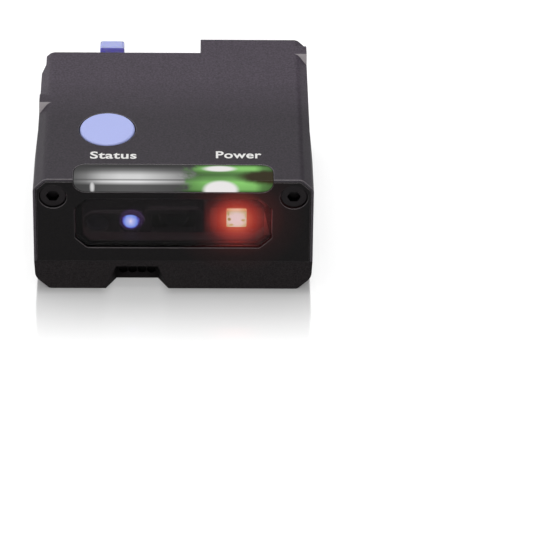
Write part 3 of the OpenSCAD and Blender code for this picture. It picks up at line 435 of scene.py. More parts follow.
@dataclass(frozen=True)
class LampedPlastic(MouldedPlastic):
    """Moulded plastic round a lit LED, with the LED's light painted on it as emission.

    Attributes:
        lamp_mm: Place of the LED.
        bands: Distance in mm and colour of the LED's painted light behind the pane, from the LED outwards.
        strength: Strength of that light.
        spill: The same for the painted light that gets out through the pane.
        haze: Colour of the room's light that gets in through the pane, painted as emission.
        pane_mm: Y of the pane's rear face.
        lean: How far the light's axis rises per length towards the front.
        left_mm: Light stays to the right of this X, where a raised frame shades the rest.
        fade_mm: How far left and right of that X the light fades.
        back_mm: Light stays in front of this Y.
        ragged_mm: How far the light's rings stray from circles.
        rim: Colour of the painted highlight on the upper edges behind the pane, where the room's light
            catches them.
        halo_mm: Place of the aimer's lens.
        halo: Distance in mm and colour of the painted light round that lens.
        halo_ragged_mm: How far that light strays from circles.
    """

    lamp_mm: tuple[float, float, float] = (10.95, -15.7, 11.2)
    bands: tuple[tuple[float, str], ...] = ((0.0, "#ff0000"), (1.0, "#000000"))
    strength: float = 1.0
    spill: tuple[tuple[float, str], ...] = ((0.0, "#000000"), (1.0, "#000000"))
    haze: str = "#000000"
    pane_mm: float = -20.1
    lean: float = 0.7265
    left_mm: float = -100.0
    fade_mm: tuple[float, float] = (-0.2, 0.3)
    back_mm: float = -12.0
    ragged_mm: float = 0.15
    rim: str = ""
    halo_mm: tuple[float, float, float] = (-7.25, -16.0, 11.45)
    halo: tuple[tuple[float, str], ...] = ()
    halo_ragged_mm: float = 0.2

    def detail(self, tree: bpy.types.NodeTree, shader: bpy.types.Node) -> None:
        """Adds the texture of the plastic and the painted light that fades away from the LED.

        Args:
            tree: Node tree of the material.
            shader: Its principled shader.
        """
        super().detail(tree, shader)
        part = add_node(tree, "ShaderNodeSeparateXYZ", links={"Vector": self.place(tree)})
        dark_mm, light_mm = (self.left_mm + fade_mm for fade_mm in self.fade_mm)
        right = add_node(tree, "ShaderNodeMapRange", {"From Min": dark_mm * MM, "From Max": light_mm * MM}, {
            "Value": part.outputs["X"],
        })
        ahead = add_node(tree, "ShaderNodeMath", {"operation": "LESS_THAN", 1: self.back_mm * MM}, {
            0: part.outputs["Y"],
        })
        inside = add_node(tree, "ShaderNodeMath", {"operation": "GREATER_THAN", 1: self.pane_mm * MM}, {
            0: part.outputs["Y"],
        }).outputs["Value"]
        gain = add_node(tree, "ShaderNodeMapRange", {"To Min": 1.0, "To Max": self.strength}, {
            "Value": inside,
        })
        zone = add_node(tree, "ShaderNodeMath", {"operation": "MULTIPLY"}, {
            0: right.outputs["Result"], 1: ahead.outputs["Value"],
        }).outputs["Value"]
        behind = add_node(tree, "ShaderNodeVectorMath", {
            "operation": "MULTIPLY_ADD", 2: linear(self.haze)[:3],
        }, {
            0: self.rings(tree, self.lamp_mm, self.bands, self.ragged_mm, self.lean), 1: zone,
        }).outputs["Vector"]
        if self.rim:
            behind = add_node(tree, "ShaderNodeVectorMath", {
                "operation": "MULTIPLY_ADD", 1: linear(self.rim)[:3],
            }, {0: self.upper_edges(tree, self.edge_highlight_mm)[0], 2: behind}).outputs["Vector"]
        if self.halo:
            behind = add_node(tree, "ShaderNodeVectorMath", {"operation": "ADD"}, {
                0: self.rings(tree, self.halo_mm, self.halo, self.halo_ragged_mm, self.lean), 1: behind,
            }).outputs["Vector"]
        outside = self.rings(tree, self.lamp_mm, self.spill, self.ragged_mm, self.lean)
        colour = add_node(tree, "ShaderNodeMix", {"data_type": "RGBA"}, {0: inside, 6: outside, 7: behind})
        tree.links.new(colour.outputs[2], shader.inputs["Emission Color"])
        tree.links.new(gain.outputs["Result"], shader.inputs["Emission Strength"])


@dataclass(frozen=True)
class ClearPlastic(Finish):
    """Clear or tinted moulded plastic that light passes through.

    Attributes:
        clear: Share of the light that enters the plastic.
        ripple_mm: Width of the faint waves that moulding leaves on a polished face.
        wave_mm: Height of those waves.
        mirror: Colour of what the face reflects, dark under an anti-reflection coat.
    """

    clear: float = 1.0
    ripple_mm: float = 6.0
    wave_mm: float = 0.004
    mirror: str = "#ffffff"

    def detail(self, tree: bpy.types.NodeTree, shader: bpy.types.Node) -> None:
        """Adds the transmission and the faint waves of the moulded face.

        Args:
            tree: Node tree of the material.
            shader: Its principled shader.
        """
        shader.inputs["Transmission Weight"].default_value = self.clear
        shader.inputs["Specular Tint"].default_value = linear(self.mirror)
        wave = add_node(tree, "ShaderNodeTexNoise", {"Scale": 1 / (self.ripple_mm * MM), "Detail": 1.0}, {
            "Vector": self.place(tree),
        })
        bump = add_node(tree, "ShaderNodeBump", {"Strength": 0.2, "Distance": self.wave_mm * MM}, {
            "Height": wave.outputs["Fac"],
        })
        tree.links.new(bump.outputs["Normal"], shader.inputs["Normal"])


# Middle, half sizes and softness of an oval on the light pipe
Oval = tuple[tuple[float, float], tuple[float, float], float]


@dataclass(frozen=True)
class GuidedLight(Finish):
    """Clear polycarbonate light pipe: room light at its bend and the power LED's green, both painted as
    emission.

    Attributes:
        front_mm: Y of the front face.
        top_mm: Z of the top face.
        low_mm: Height of the front leg.
        deep_mm: Depth of the top leg.
        half_mm: Half of the pipe's width.
        green: Colour of the guided light.
        amber: Colour of the dark core towards the right end.
        hot: Colour of the light over the LED.
        bend_light: Painted reflection of room light over the two legs: bright on both sides of the bend's
            dark line.
        room_light: Painted room light across the pipe, dim at the ends.
        dim: Level of the room light where there is least.
        green_over: Green light over the two legs, brighter towards the pipe's outline.
        green_across: Green light across the pipe.
        green_from: Places across the pipe between which the green light begins.
        green_slant: How far that place shifts over the two legs.
        bump_mm: Width of the bumps in the light's ends.
        bump: How far they shift the place where the green light begins, and the core.
        streak: Painted glint at the pipe's left end: middle, half sizes and softness, as spot() takes them.
        streak_level: Level of that glint.
        core: The dark core, likewise.
        hot_spots: The painted light over the LED on the front leg and on the top leg, likewise.
    """

    front_mm: float = -21.5
    top_mm: float = 23.6
    low_mm: float = 2.6
    deep_mm: float = 4.4
    half_mm: float = 17.0
    green: str = "#8acd70"
    amber: str = "#2f2812"
    hot: str = "#e8e5e5"
    bend_light: tuple[tuple[float, float], ...] = (
        (0.0, 0.05), (0.2, 0.05), (0.3, 0.67), (0.335, 0.74), (0.352, 0.26), (0.392, 0.26), (0.41, 0.62),
        (0.56, 0.58), (0.75, 0.14), (0.9, 0.0),
    )
    room_light: tuple[tuple[float, float], ...] = (
        (0.0, 0.1), (0.06, 0.26), (0.14, 0.74), (0.23, 1.0), (0.33, 1.0), (0.52, 0.45), (0.62, 0.28),
        (0.8, 0.0),
    )
    dim: float = 0.04
    green_over: tuple[tuple[float, float], ...] = (
        (0.0, 0.2), (0.08, 0.75), (0.3, 1.0), (0.38, 0.63), (0.57, 0.29), (0.68, 0.4), (0.8, 0.92),
        (0.88, 0.95), (1.0, 0.04),
    )
    green_across: tuple[tuple[float, float], ...] = (
        (0.52, 0.25), (0.66, 0.78), (0.84, 1.0), (0.91, 0.95), (0.95, 0.4), (1.0, 0.2),
    )
    green_from: tuple[float, float] = (0.58, 0.7)
    green_slant: float = -0.07
    bump_mm: float = 1.3
    bump: tuple[float, float] = (0.2, 0.12)
    streak: Oval = ((-13.9, 0.14), (0.36, 0.17), 0.7)
    streak_level: float = 0.62
    core: Oval = ((16.2, 0.56), (4.9, 0.24), 0.35)
    hot_spots: tuple[Oval, Oval] = (((8.1, 0.06), (2.9, 0.28), 0.2), ((7.9, 0.83), (2.6, 0.11), 0.35))

    def spot(
        self, tree: bpy.types.NodeTree, x: bpy.types.NodeSocket, along: bpy.types.NodeSocket, oval: Oval,
    ) -> bpy.types.NodeSocket:
        """Gives 1 inside an oval on the pipe and 0 outside.

        Args:
            tree: Node tree that takes the nodes.
            x: Place across the pipe.
            along: Place over the two legs, 0 to 1.
            oval: Its middle in mm and on that 0 to 1, its half sizes likewise, and the share that fades.

        Returns:
            The socket with that value.
        """
        middle, half, soft = oval
        dx = add_node(tree, "ShaderNodeMapRange", {
            "clamp": False, "From Min": middle[0] * MM, "From Max": (middle[0] + half[0]) * MM,
        }, {"Value": x})
        dq = add_node(tree, "ShaderNodeMapRange", {
            "clamp": False, "From Min": middle[1], "From Max": middle[1] + half[1],
        }, {"Value": along})
        both = add_node(tree, "ShaderNodeCombineXYZ", links={
            "X": dx.outputs["Result"], "Y": dq.outputs["Result"],
        })
        far = add_node(tree, "ShaderNodeVectorMath", {"operation": "LENGTH"}, {0: both.outputs["Vector"]})
        return add_node(tree, "ShaderNodeMapRange", {
            "interpolation_type": "SMOOTHSTEP", "From Min": 1 - soft, "From Max": 1 + soft,
            "To Min": 1.0, "To Max": 0.0,
        }, {"Value": far.outputs["Value"]}).outputs["Result"]

    def detail(self, tree: bpy.types.NodeTree, shader: bpy.types.Node) -> None:
        """Paints the bright bend, the green half and the LED's hot spots as emission.

        Args:
            tree: Node tree of the material.
            shader: Its principled shader.
        """
        place = self.place(tree)
        part = add_node(tree, "ShaderNodeSeparateXYZ", links={"Vector": place})
        x, y, z = (part.outputs[axis] for axis in "XYZ")
        # Path over the pipe's two legs: 0 at the front leg's foot, 1 at the rear
        path = add_node(tree, "ShaderNodeMath", {"operation": "ADD"}, {0: y, 1: z}).outputs["Value"]
        bend_at = self.front_mm + self.top_mm
        ragged = add_node(tree, "ShaderNodeTexNoise", {"Scale": 1 / (self.bump_mm * MM), "Detail": 3.0}, {
            "Vector": place,
        })
        along = add_node(tree, "ShaderNodeMapRange", {
            "From Min": (bend_at - self.low_mm) * MM, "From Max": (bend_at + self.deep_mm) * MM,
        }, {"Value": path}).outputs["Result"]
        side = add_node(tree, "ShaderNodeMapRange", {
            "From Min": -self.half_mm * MM, "From Max": self.half_mm * MM,
        }, {"Value": x}).outputs["Result"]
        bend, room_over, outline, reach = (
            add_node(tree, "ShaderNodeValToRGB", {"stops": stops}, {"Fac": fac}).outputs["Color"]
            for stops, fac in (
                (self.bend_light, along), (self.room_light, side),
                (self.green_over, along), (self.green_across, side),
            )
        )
        # Painted reflection of room light, with a painted glint at the left end
        grey = add_node(tree, "ShaderNodeMath", {"operation": "MULTIPLY_ADD", 2: self.dim}, {
            0: bend, 1: room_over,
        })
        streak = add_node(tree, "ShaderNodeMath", {"operation": "MULTIPLY", 1: self.streak_level}, {
            0: self.spot(tree, x, along, self.streak),
        })
        room = add_node(tree, "ShaderNodeMath", {"operation": "MAXIMUM"}, {
            0: grey.outputs["Value"], 1: streak.outputs["Value"],
        })
        # Green light from the LED, painted as a glow, with a ragged end
        level = add_node(tree, "ShaderNodeMath", {"operation": "MULTIPLY"}, {0: outline, 1: reach})
        green = add_node(tree, "ShaderNodeVectorMath", {"operation": "SCALE", 0: linear(self.green)[:3]}, {
            "Scale": level.outputs["Value"],
        })
        slant = add_node(tree, "ShaderNodeMath", {"operation": "MULTIPLY_ADD", 1: self.green_slant}, {
            0: along, 2: side,
        })
        stray, wavy = (
            add_node(tree, "ShaderNodeMath", {"operation": "MULTIPLY_ADD", 1: shift}, {
                0: ragged.outputs["Fac"], 2: way,
            }).outputs["Value"]
            for shift, way in zip(self.bump, (slant.outputs["Value"], along))
        )
        begin = add_node(tree, "ShaderNodeMapRange", {
            "interpolation_type": "SMOOTHSTEP",
            "From Min": self.green_from[0], "From Max": self.green_from[1],
        }, {"Value": stray})
        lit = add_node(tree, "ShaderNodeMix", {"data_type": "RGBA"}, {
            0: begin.outputs["Result"], 6: room.outputs["Value"], 7: green.outputs["Vector"],
        })
        core = add_node(tree, "ShaderNodeMix", {"data_type": "RGBA", 7: linear(self.amber)}, {
            0: self.spot(tree, x, wavy, self.core), 6: lit.outputs[2],
        })
        hot = add_node(tree, "ShaderNodeMath", {"operation": "MAXIMUM"}, {
            leg: self.spot(tree, x, along, oval) for leg, oval in enumerate(self.hot_spots)
        })
        colour = add_node(tree, "ShaderNodeMix", {"data_type": "RGBA", 7: linear(self.hot)}, {
            0: hot.outputs["Value"], 6: core.outputs[2],
        })
        tree.links.new(colour.outputs[2], shader.inputs["Emission Color"])
        shader.inputs["Emission Strength"].default_value = 1.0


@dataclass(frozen=True)
class LitSpot(Finish):
    """A lit LED or lens: bright in its middle, coloured at its rim.

    Attributes:
        middle_mm: The middle.
        bands: Radius in mm and colour of the light, from the middle outwards.
        ragged_mm: How far the rings stray from circles.
        strength: Strength of the light.
        back_mm: Light stays in front of this Y.
        tall: Height of a ring for its width.
        bonds: X, Z, half width and half height in mm and colour of the die's bonds.
    """

    middle_mm: tuple[float, float, float] = (0.0, 0.0, 0.0)
    bands: tuple[tuple[float, str], ...] = ((0.0, "#ffffff"), (1.0, "#ffffff"))
    ragged_mm: float = 0.2
    strength: float = 1.0
    back_mm: float = 100.0
    tall: float = 1.0
    bonds: tuple[tuple[float, float, float, float, str], ...] = ()

    def detail(self, tree: bpy.types.NodeTree, shader: bpy.types.Node) -> None:
        """Adds the light in rings.

        Args:
            tree: Node tree of the material.
            shader: Its principled shader.
        """
        part = add_node(tree, "ShaderNodeSeparateXYZ", links={"Vector": self.place(tree)})
        ahead = add_node(tree, "ShaderNodeMath", {"operation": "LESS_THAN", 1: self.back_mm * MM}, {
            0: part.outputs["Y"],
        })
        light = add_node(tree, "ShaderNodeMath", {"operation": "MULTIPLY", 1: self.strength}, {
            0: ahead.outputs["Value"],
        })
        rings = self.rings(tree, self.middle_mm, self.bands, self.ragged_mm, tall=self.tall)
        tree.links.new(self.marks(tree, rings, self.bonds), shader.inputs["Emission Color"])
        tree.links.new(light.outputs["Value"], shader.inputs["Emission Strength"])


@dataclass(frozen=True)
class Metal(Finish):
    """Turned or drawn metal.

    Attributes:
        streak_mm: Width of the marks that the tool left.
        depth_mm: Depth of those marks.
        smear_mm: Width of the smears on the metal.
        smear: Share by which they change the roughness.
    """

    metallic: float = 1.0
    streak_mm: float = 0.12
    depth_mm: float = 0.004
    smear_mm: float = 1.5
    smear: float = 0.25

    def detail(self, tree: bpy.types.NodeTree, shader: bpy.types.Node) -> None:
        """Adds tool marks to the normal and smears to the roughness.

        Args:
            tree: Node tree of the material.
            shader: Its principled shader.
        """
        place = self.place(tree)
        marks = add_node(tree, "ShaderNodeTexNoise", {"Scale": 1 / (self.streak_mm * MM), "Detail": 2.0}, {
            "Vector": place,
        })
        smear = add_node(tree, "ShaderNodeTexNoise", {"Scale": 1 / (self.smear_mm * MM), "Detail": 2.0}, {
            "Vector": place,
        })
        rough = add_node(tree, "ShaderNodeMapRange", {
            "To Min": self.roughness * (1 - self.smear), "To Max": self.roughness * (1 + self.smear),
        }, {"Value": smear.outputs["Fac"]})
        bump = add_node(tree, "ShaderNodeBump", {"Strength": 0.4, "Distance": self.depth_mm * MM}, {
            "Height": marks.outputs["Fac"],
        })
        tree.links.new(rough.outputs["Result"], shader.inputs["Roughness"])
        tree.links.new(bump.outputs["Normal"], shader.inputs["Normal"])


@dataclass(frozen=True)
class TracedBoard(Finish):
    """Laminate with copper tracks that show through its lacquer or film.

    Attributes:
        track: Colour where a track lies under the lacquer.
        pitch_mm: Distance between tracks.
        rows: Pitches per length of a track; less gives longer tracks.
        rise_mm: Height of a track under the lacquer.
    """

    track: str = "#4a8a5c"
    pitch_mm: float = 0.8
    rows: float = 0.4
    rise_mm: float = 0.03

    def detail(self, tree: bpy.types.NodeTree, shader: bpy.types.Node) -> None:
        """Adds the tracks to the colour and the normal.

        Args:
            tree: Node tree of the material.
            shader: Its principled shader.
        """
        brick = add_node(tree, "ShaderNodeTexBrick", {
            "Color1": linear(self.colour), "Color2": linear(self.colour), "Mortar": linear(self.track),
            "Scale": 1 / (self.pitch_mm * MM), "Mortar Size": 0.12, "Mortar Smooth": 0.3,
            "Brick Width": 1.0 / self.rows, "Row Height": 1.0,
        }, {"Vector": self.place(tree)})
        bump = add_node(tree, "ShaderNodeBump", {"Strength": 0.5, "Distance": self.rise_mm * MM}, {
            "Height": brick.outputs["Fac"],
        })
        tree.links.new(brick.outputs["Color"], shader.inputs["Base Color"])
        tree.links.new(bump.outputs["Normal"], shader.inputs["Normal"])


# Red light of the illumination LED painted as emission, from beside it to where it dies away, behind the pane
# and on the cover
RED_LIGHT = (
    (0.0, "#d06a4c"), (2.2, "#c1553d"), (3.2, "#a2362a"), (4.3, "#772620"), (5.2, "#471917"),
    (6.5, "#1f0c0c"), (9.0, "#000000"),
)
RED_SPILL = ((0.0, "#6a2019"), (4.6, "#5c1e18"), (6.0, "#2c0d0c"), (8.5, "#140505"), (12.0, "#000000"))
# What the smoked pane takes off a light behind it
PANE_GAIN = 5.2
RED_GAIN = 0.86 * PANE_GAIN
# Spark-eroded mould texture: fine, even grain that scatters the light, charcoal where light grazes it;
# painted highlight on faces that look up and forward and on upper edges, painted shade in hollows, painted
# light towards the rear
HOUSING_ABS = MouldedPlastic(
    "abs_black_spark_textured", "#2c262e", 0.55, 1.53, specular=0.3, grain_mm=0.32, depth_mm=0.03, drift=0.03,
    mottle=0.6, facet="#a09a9d", hollow_mm=2.5, rear=2.2, edge_highlight="#9a9598",
)
# The same resin from the front tool: deeper black, grain a little finer; painted shade in its hollows,
# painted highlight on its upper edges, and the LED's and the room's light painted on as emission
COVER_ABS = LampedPlastic(
    "abs_black_fine_textured", "#110f10", 0.5, 1.53, specular=0.07, grain_mm=0.22, depth_mm=0.025, drift=0.03,
    mottle=0.6, hollow_mm=3.0, edge_highlight="#868183", bands=RED_LIGHT, strength=RED_GAIN, spill=RED_SPILL,
    haze="#1a1315",
)
# The same resin from the base's tool: duller, with painted shade deep in its openings, a faint painted
# highlight on its upper edges and the LED's light painted on its front
BASE_ABS = LampedPlastic(
    "abs_black_base_textured", "#272425", 0.6, 1.53, specular=0.03, grain_mm=0.22, depth_mm=0.025, drift=0.03,
    mottle=0.6, hollow_mm=6.0, hollow_open=(0.7, 0.97), hollow_own=True, edge_highlight="#2a2829", spill=RED_SPILL,
)
# Smoked acrylic with an anti-reflection coat: almost black from outside, LEDs shine through it
WINDOW_PMMA = ClearPlastic("pmma_smoked_anti_reflection_coated", "#7a7275", 0.03, 1.49, mirror="#505050")
# Dead matt, slightly dusty black rubber, with the LED's red light painted on it as emission
GASKET_EPDM = LampedPlastic(
    "epdm_rubber_die_cut", "#3a3436", 0.85, 1.52, grain_mm=0.15, depth_mm=0.01, bands=RED_LIGHT,
    strength=RED_GAIN,
)
# Clear pipe over a dark case: grey where it mirrors the room, green where the LED feeds it, both painted as
# emission
PIPE_PC = GuidedLight("polycarbonate_clear_polished", "#151415", 0.2, 1.586, specular=0.04)
# Satin key cap, pale blue through and through
BUTTON_PBT = MouldedPlastic(
    "pbt_pale_blue_satin", "#b9c3fd", 0.42, 1.55, grain_mm=0.2, depth_mm=0.008, mottle=0.03,
)
# Slippery acetal, softly glossy, light scatters in it; its front faces painted a deeper blue for the shade
# they lie in
LATCH_POM = MouldedPlastic(
    "acetal_blue_moulded", "#b8bffa", 0.38, 1.48, grain_mm=0.25, depth_mm=0.008, mottle=0.03, facet="#a59eff",
    facet_way=(0.0, -1.0, 0.0), sheer=0.6,
)
# Undyed acetal, waxy
PLUNGER_POM = MouldedPlastic(
    "acetal_natural_moulded", "#e6e2d8", 0.35, 1.48, grain_mm=0.2, depth_mm=0.005, mottle=0.02,
)
# Filled epoxy of chip bodies, dull with fine flow marks
CHIP_EPOXY = MouldedPlastic("epoxy_chip_moulded", "#191919", 0.6, 1.55, grain_mm=0.12, depth_mm=0.006)
# Glass-filled polyester of the socket, dull where fibres lie near the skin
SOCKET_PBT = MouldedPlastic("pbt_glass_filled_black", "#1b1b1c", 0.5, 1.55, grain_mm=0.18, depth_mm=0.008)
# Off-white liquid crystal polymer, chalky
CONNECTOR_LCP = MouldedPlastic(
    "lcp_ivory_moulded", "#e9e5da", 0.5, 1.6, grain_mm=0.15, depth_mm=0.004, mottle=0.03,
)
# Fired ceramic parts, tan and matt
PART_CERAMIC = MouldedPlastic(
    "ceramic_tan_fired", "#8a7a5c", 0.6, 1.6, grain_mm=0.1, depth_mm=0.004, mottle=0.12,
)
# Die-cast optics block, anodised black to swallow stray light; painted highlight along its upper edges, and
# the LED's red light, the aimer's violet halo and the room's light through the pane painted as emission
ENGINE_BLACK = LampedPlastic(
    "aluminium_die_cast_black_anodised", "#141314", 0.62, 1.5, specular=0.3, grain_mm=0.3, depth_mm=0.02,
    haze="#080708", bands=RED_LIGHT, strength=RED_GAIN, left_mm=5.3, rim="#332f31",
    halo=((0.0, "#2e2140"), (1.9, "#2e2140"), (2.3, "#000000")),
)
# Lacquered board under the LED, black, with the LED's light painted on it as emission
LED_BOARD = LampedPlastic(
    "fr4_black_under_led", "#1a1818", 0.45, 1.55, grain_mm=0.4, depth_mm=0.01, bands=RED_LIGHT,
    strength=RED_GAIN,
)
# Anodised barrel, matt black with fine turning
BARREL_BLACK = MouldedPlastic(
    "aluminium_turned_black_anodised", "#101011", 0.5, 1.5, grain_mm=0.1, depth_mm=0.004,
)
# Alloy steel dipped in hot black oxide: dark, with a soft sheen
SCREW_OXIDE = Metal("steel_black_oxide", "#201e1f", 0.42)
# Cold-headed steel, bright zinc
SCREW_ZINC = Metal("steel_zinc_plated", "#b9bcc0", 0.28)
# Ground pin and drawn spring wire
PIN_STEEL = Metal("stainless_steel_ground", "#c4c6c9", 0.22)
# Knurled brass, slightly dulled
INSERT_BRASS = Metal("brass_turned", "#c8a24e", 0.3)
# Hard gold over nickel
CONTACT_GOLD = Metal("gold_plated_bronze", "#d9b04a", 0.22)
# Lacquered laminate: the tracks show as lighter lines under the green or black lacquer
BOARD_GREEN = TracedBoard("fr4_green_solder_mask", "#1f4a30", 0.4, 1.55, track="#3a7a50")
BOARD_BLACK = TracedBoard("fr4_black_solder_mask", "#1d1c1d", 0.4, 1.55, track="#343335")
# Amber film over parallel copper tracks
FLEX_POLYIMIDE = TracedBoard(
    "polyimide_flex_laminated", "#b9772c", 0.3, 1.7, track="#d59a4e", pitch_mm=0.5, rows=0.02,
)
# Polished glass, faint blue coating
LENS_GLASS = ClearPlastic("glass_coated_polished", "#cfdcf5", 0.02, 1.52, ripple_mm=20.0)
# Silicon under cover glass, dark and glossy
SENSOR_SILICON = MouldedPlastic("silicon_sensor_polished", "#1d2430", 0.12, 1.6, grain_mm=0.4, depth_mm=0.002)
# LED packages: unlit phosphor, green, red with a white-hot die and its bonds, blue aimer dice
LED_UNLIT = MouldedPlastic(
    "led_phosphor_unlit", "#e4dfc4", 0.4, 1.5, grain_mm=0.15, depth_mm=0.004, mottle=0.04,
)
LED_GREEN = LitSpot(
    "led_green_lit", "#9fe89a", 0.3, middle_mm=(8.1, 0.0, 19.8), bands=((0.0, "#eaffea"), (1.0, "#58e04e")),
    strength=1.5,
)
LED_RED = LitSpot(
    "led_red_lit", "#e8d0d0", 0.3, middle_mm=(10.95, 0.0, 11.2), ragged_mm=0.25,
    bands=((0.0, "#d6cdca"), (1.2, "#d3cac2"), (1.6, "#cbc2aa"), (2.1, "#b4a97a"), (2.5, "#b0754f")),
    strength=PANE_GAIN, back_mm=-14.0,
    bonds=(
        (9.7, 11.2, 0.3, 0.32, "#93874c"), (9.55, 12.4, 0.16, 0.4, "#a89c5e"),
        (12.15, 11.0, 0.34, 0.24, "#b0a468"), (10.1, 10.0, 0.34, 0.22, "#b0a468"),
        (12.6, 12.2, 0.16, 0.7, "#b4a97a"),
    ),
)
LED_BLUE = LitSpot(
    "led_blue_lit", "#5b9bf0", 0.3, middle_mm=(-7.5, 0.0, 11.2), bands=((0.0, "#7fb4ff"), (1.2, "#4a6fe0")),
    strength=1.5,
)
# The lit aimer's lens: white-blue in the middle, azure round it, violet at its rim
AIMER_LIT = LitSpot(
    "acrylic_lens_lit_blue", "#0c0a14", 0.1, 1.49, middle_mm=(-7.45, 0.0, 11.6), ragged_mm=0.3, tall=1.1,
    bands=(
        (0.0, "#e4e2ee"), (0.3, "#b6c4f4"), (1.1, "#6f92e4"), (1.4, "#4a3f9a"), (1.6, "#1a1228"),
        (2.0, "#2e2140"), (2.4, "#000000"),
    ),
    strength=PANE_GAIN,
)
# Pad-printed ink, matt white, a hair above the plastic
LEGEND_INK = MouldedPlastic(
    "ink_white_pad_printed", "#f4f3f1", 0.6, 1.5, grain_mm=0.3, depth_mm=0.003, mottle=0.02,
)


def smooth_group(limit_deg: float) -> bpy.types.NodeTree:
    """Gives the modifier tree that shades faces smoothly across shallow edges only.

    Args:
        limit_deg: Edges that turn more than this stay sharp.

    Returns:
        The geometry node tree, made on first use.
    """
    name = f"smooth_below_{limit_deg:.0f}"
    known = bpy.data.node_groups.get(name)
    if known:
        return known
    tree = bpy.data.node_groups.new(name, "GeometryNodeTree")
    tree.interface.new_socket("Geometry", in_out="INPUT", socket_type="NodeSocketGeometry")
    tree.interface.new_socket("Geometry", in_out="OUTPUT", socket_type="NodeSocketGeometry")
    source = add_node(tree, "NodeGroupInput")
    bare = add_node(tree, "GeometryNodeRemoveAttribute", {"Name": "custom_normal"}, {
        "Geometry": source.outputs["Geometry"],
    })
    faces = add_node(tree, "GeometryNodeSetShadeSmooth", {"domain": "FACE", "Shade Smooth": True}, {
        "Geometry": bare.outputs["Geometry"],
    })
    angle = add_node(tree, "GeometryNodeInputMeshEdgeAngle")
    shallow = add_node(tree, "FunctionNodeCompare", {
        "data_type": "FLOAT", "operation": "LESS_EQUAL", "B": math.radians(limit_deg),
    }, {"A": angle.outputs["Unsigned Angle"]})
    edges = add_node(tree, "GeometryNodeSetShadeSmooth", {"domain": "EDGE"}, {
        "Geometry": faces.outputs["Geometry"], "Shade Smooth": shallow.outputs["Result"],
    })
    add_node(tree, "NodeGroupOutput", links={"Geometry": edges.outputs["Geometry"]})
    return tree


@dataclass
class SubAssembly:
    """A group of solids that is finished together.

    Attributes:
        pieces: Name, finish and edge of each solid.
        weld_mm: Distance within which points of a solid's mesh are one.
        flat_deg: Faces that turn less than this are one flat face.
        edge_deg: Corners that turn more than this are broken.
        smooth_deg: Edges that turn more than this stay sharp.
    """

    pieces: tuple[tuple[str, Finish, Edge], ...] = ()
    weld_mm: float = 0.001
    flat_deg: float = 0.3
    edge_deg: float = 35.0
    smooth_deg: float = 32.0

    def dress(self) -> None:
        """Finishes the solids."""
        for node, finish, edge in self.pieces:
            self.finish_node(node, finish, edge)

    def finish_node(self, node: str, finish: Finish, edge: Edge) -> bpy.types.Object:
        """Gives one solid its material, broken edges and smooth shading.

        Args:
            node: Name of the solid.
            finish: Its material.
            edge: How far its corners are broken.

        Returns:
            The solid's object.
        """
        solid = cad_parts[node]
        solid.data.materials.clear()
        solid.data.materials.append(finish.material())
        weld = solid.modifiers.new("weld", "WELD")
        weld.merge_threshold = self.weld_mm * MM
        flat = solid.modifiers.new("flat faces", "DECIMATE")
        flat.decimate_type = "DISSOLVE"
        flat.angle_limit = math.radians(self.flat_deg)
        if edge is not Edge.NONE:
            bevel = solid.modifiers.new("broken edges", "BEVEL")
            bevel.width = edge.value * MM
            bevel.segments = 3 if edge is Edge.SOFT else 2
            bevel.limit_method = "ANGLE"
            bevel.angle_limit = math.radians(self.edge_deg)
            bevel.use_clamp_overlap = True
            bevel.miter_outer = "MITER_ARC"
        shade = solid.modifiers.new("smooth faces", "NODES")
        shade.node_group = smooth_group(self.smooth_deg)
        even = solid.modifiers.new("even flat faces", "WEIGHTED_NORMAL")
        even.weight = 100
        even.keep_sharp = True
        LOG.info("finished %s as %s", node, finish.name)
        return solid


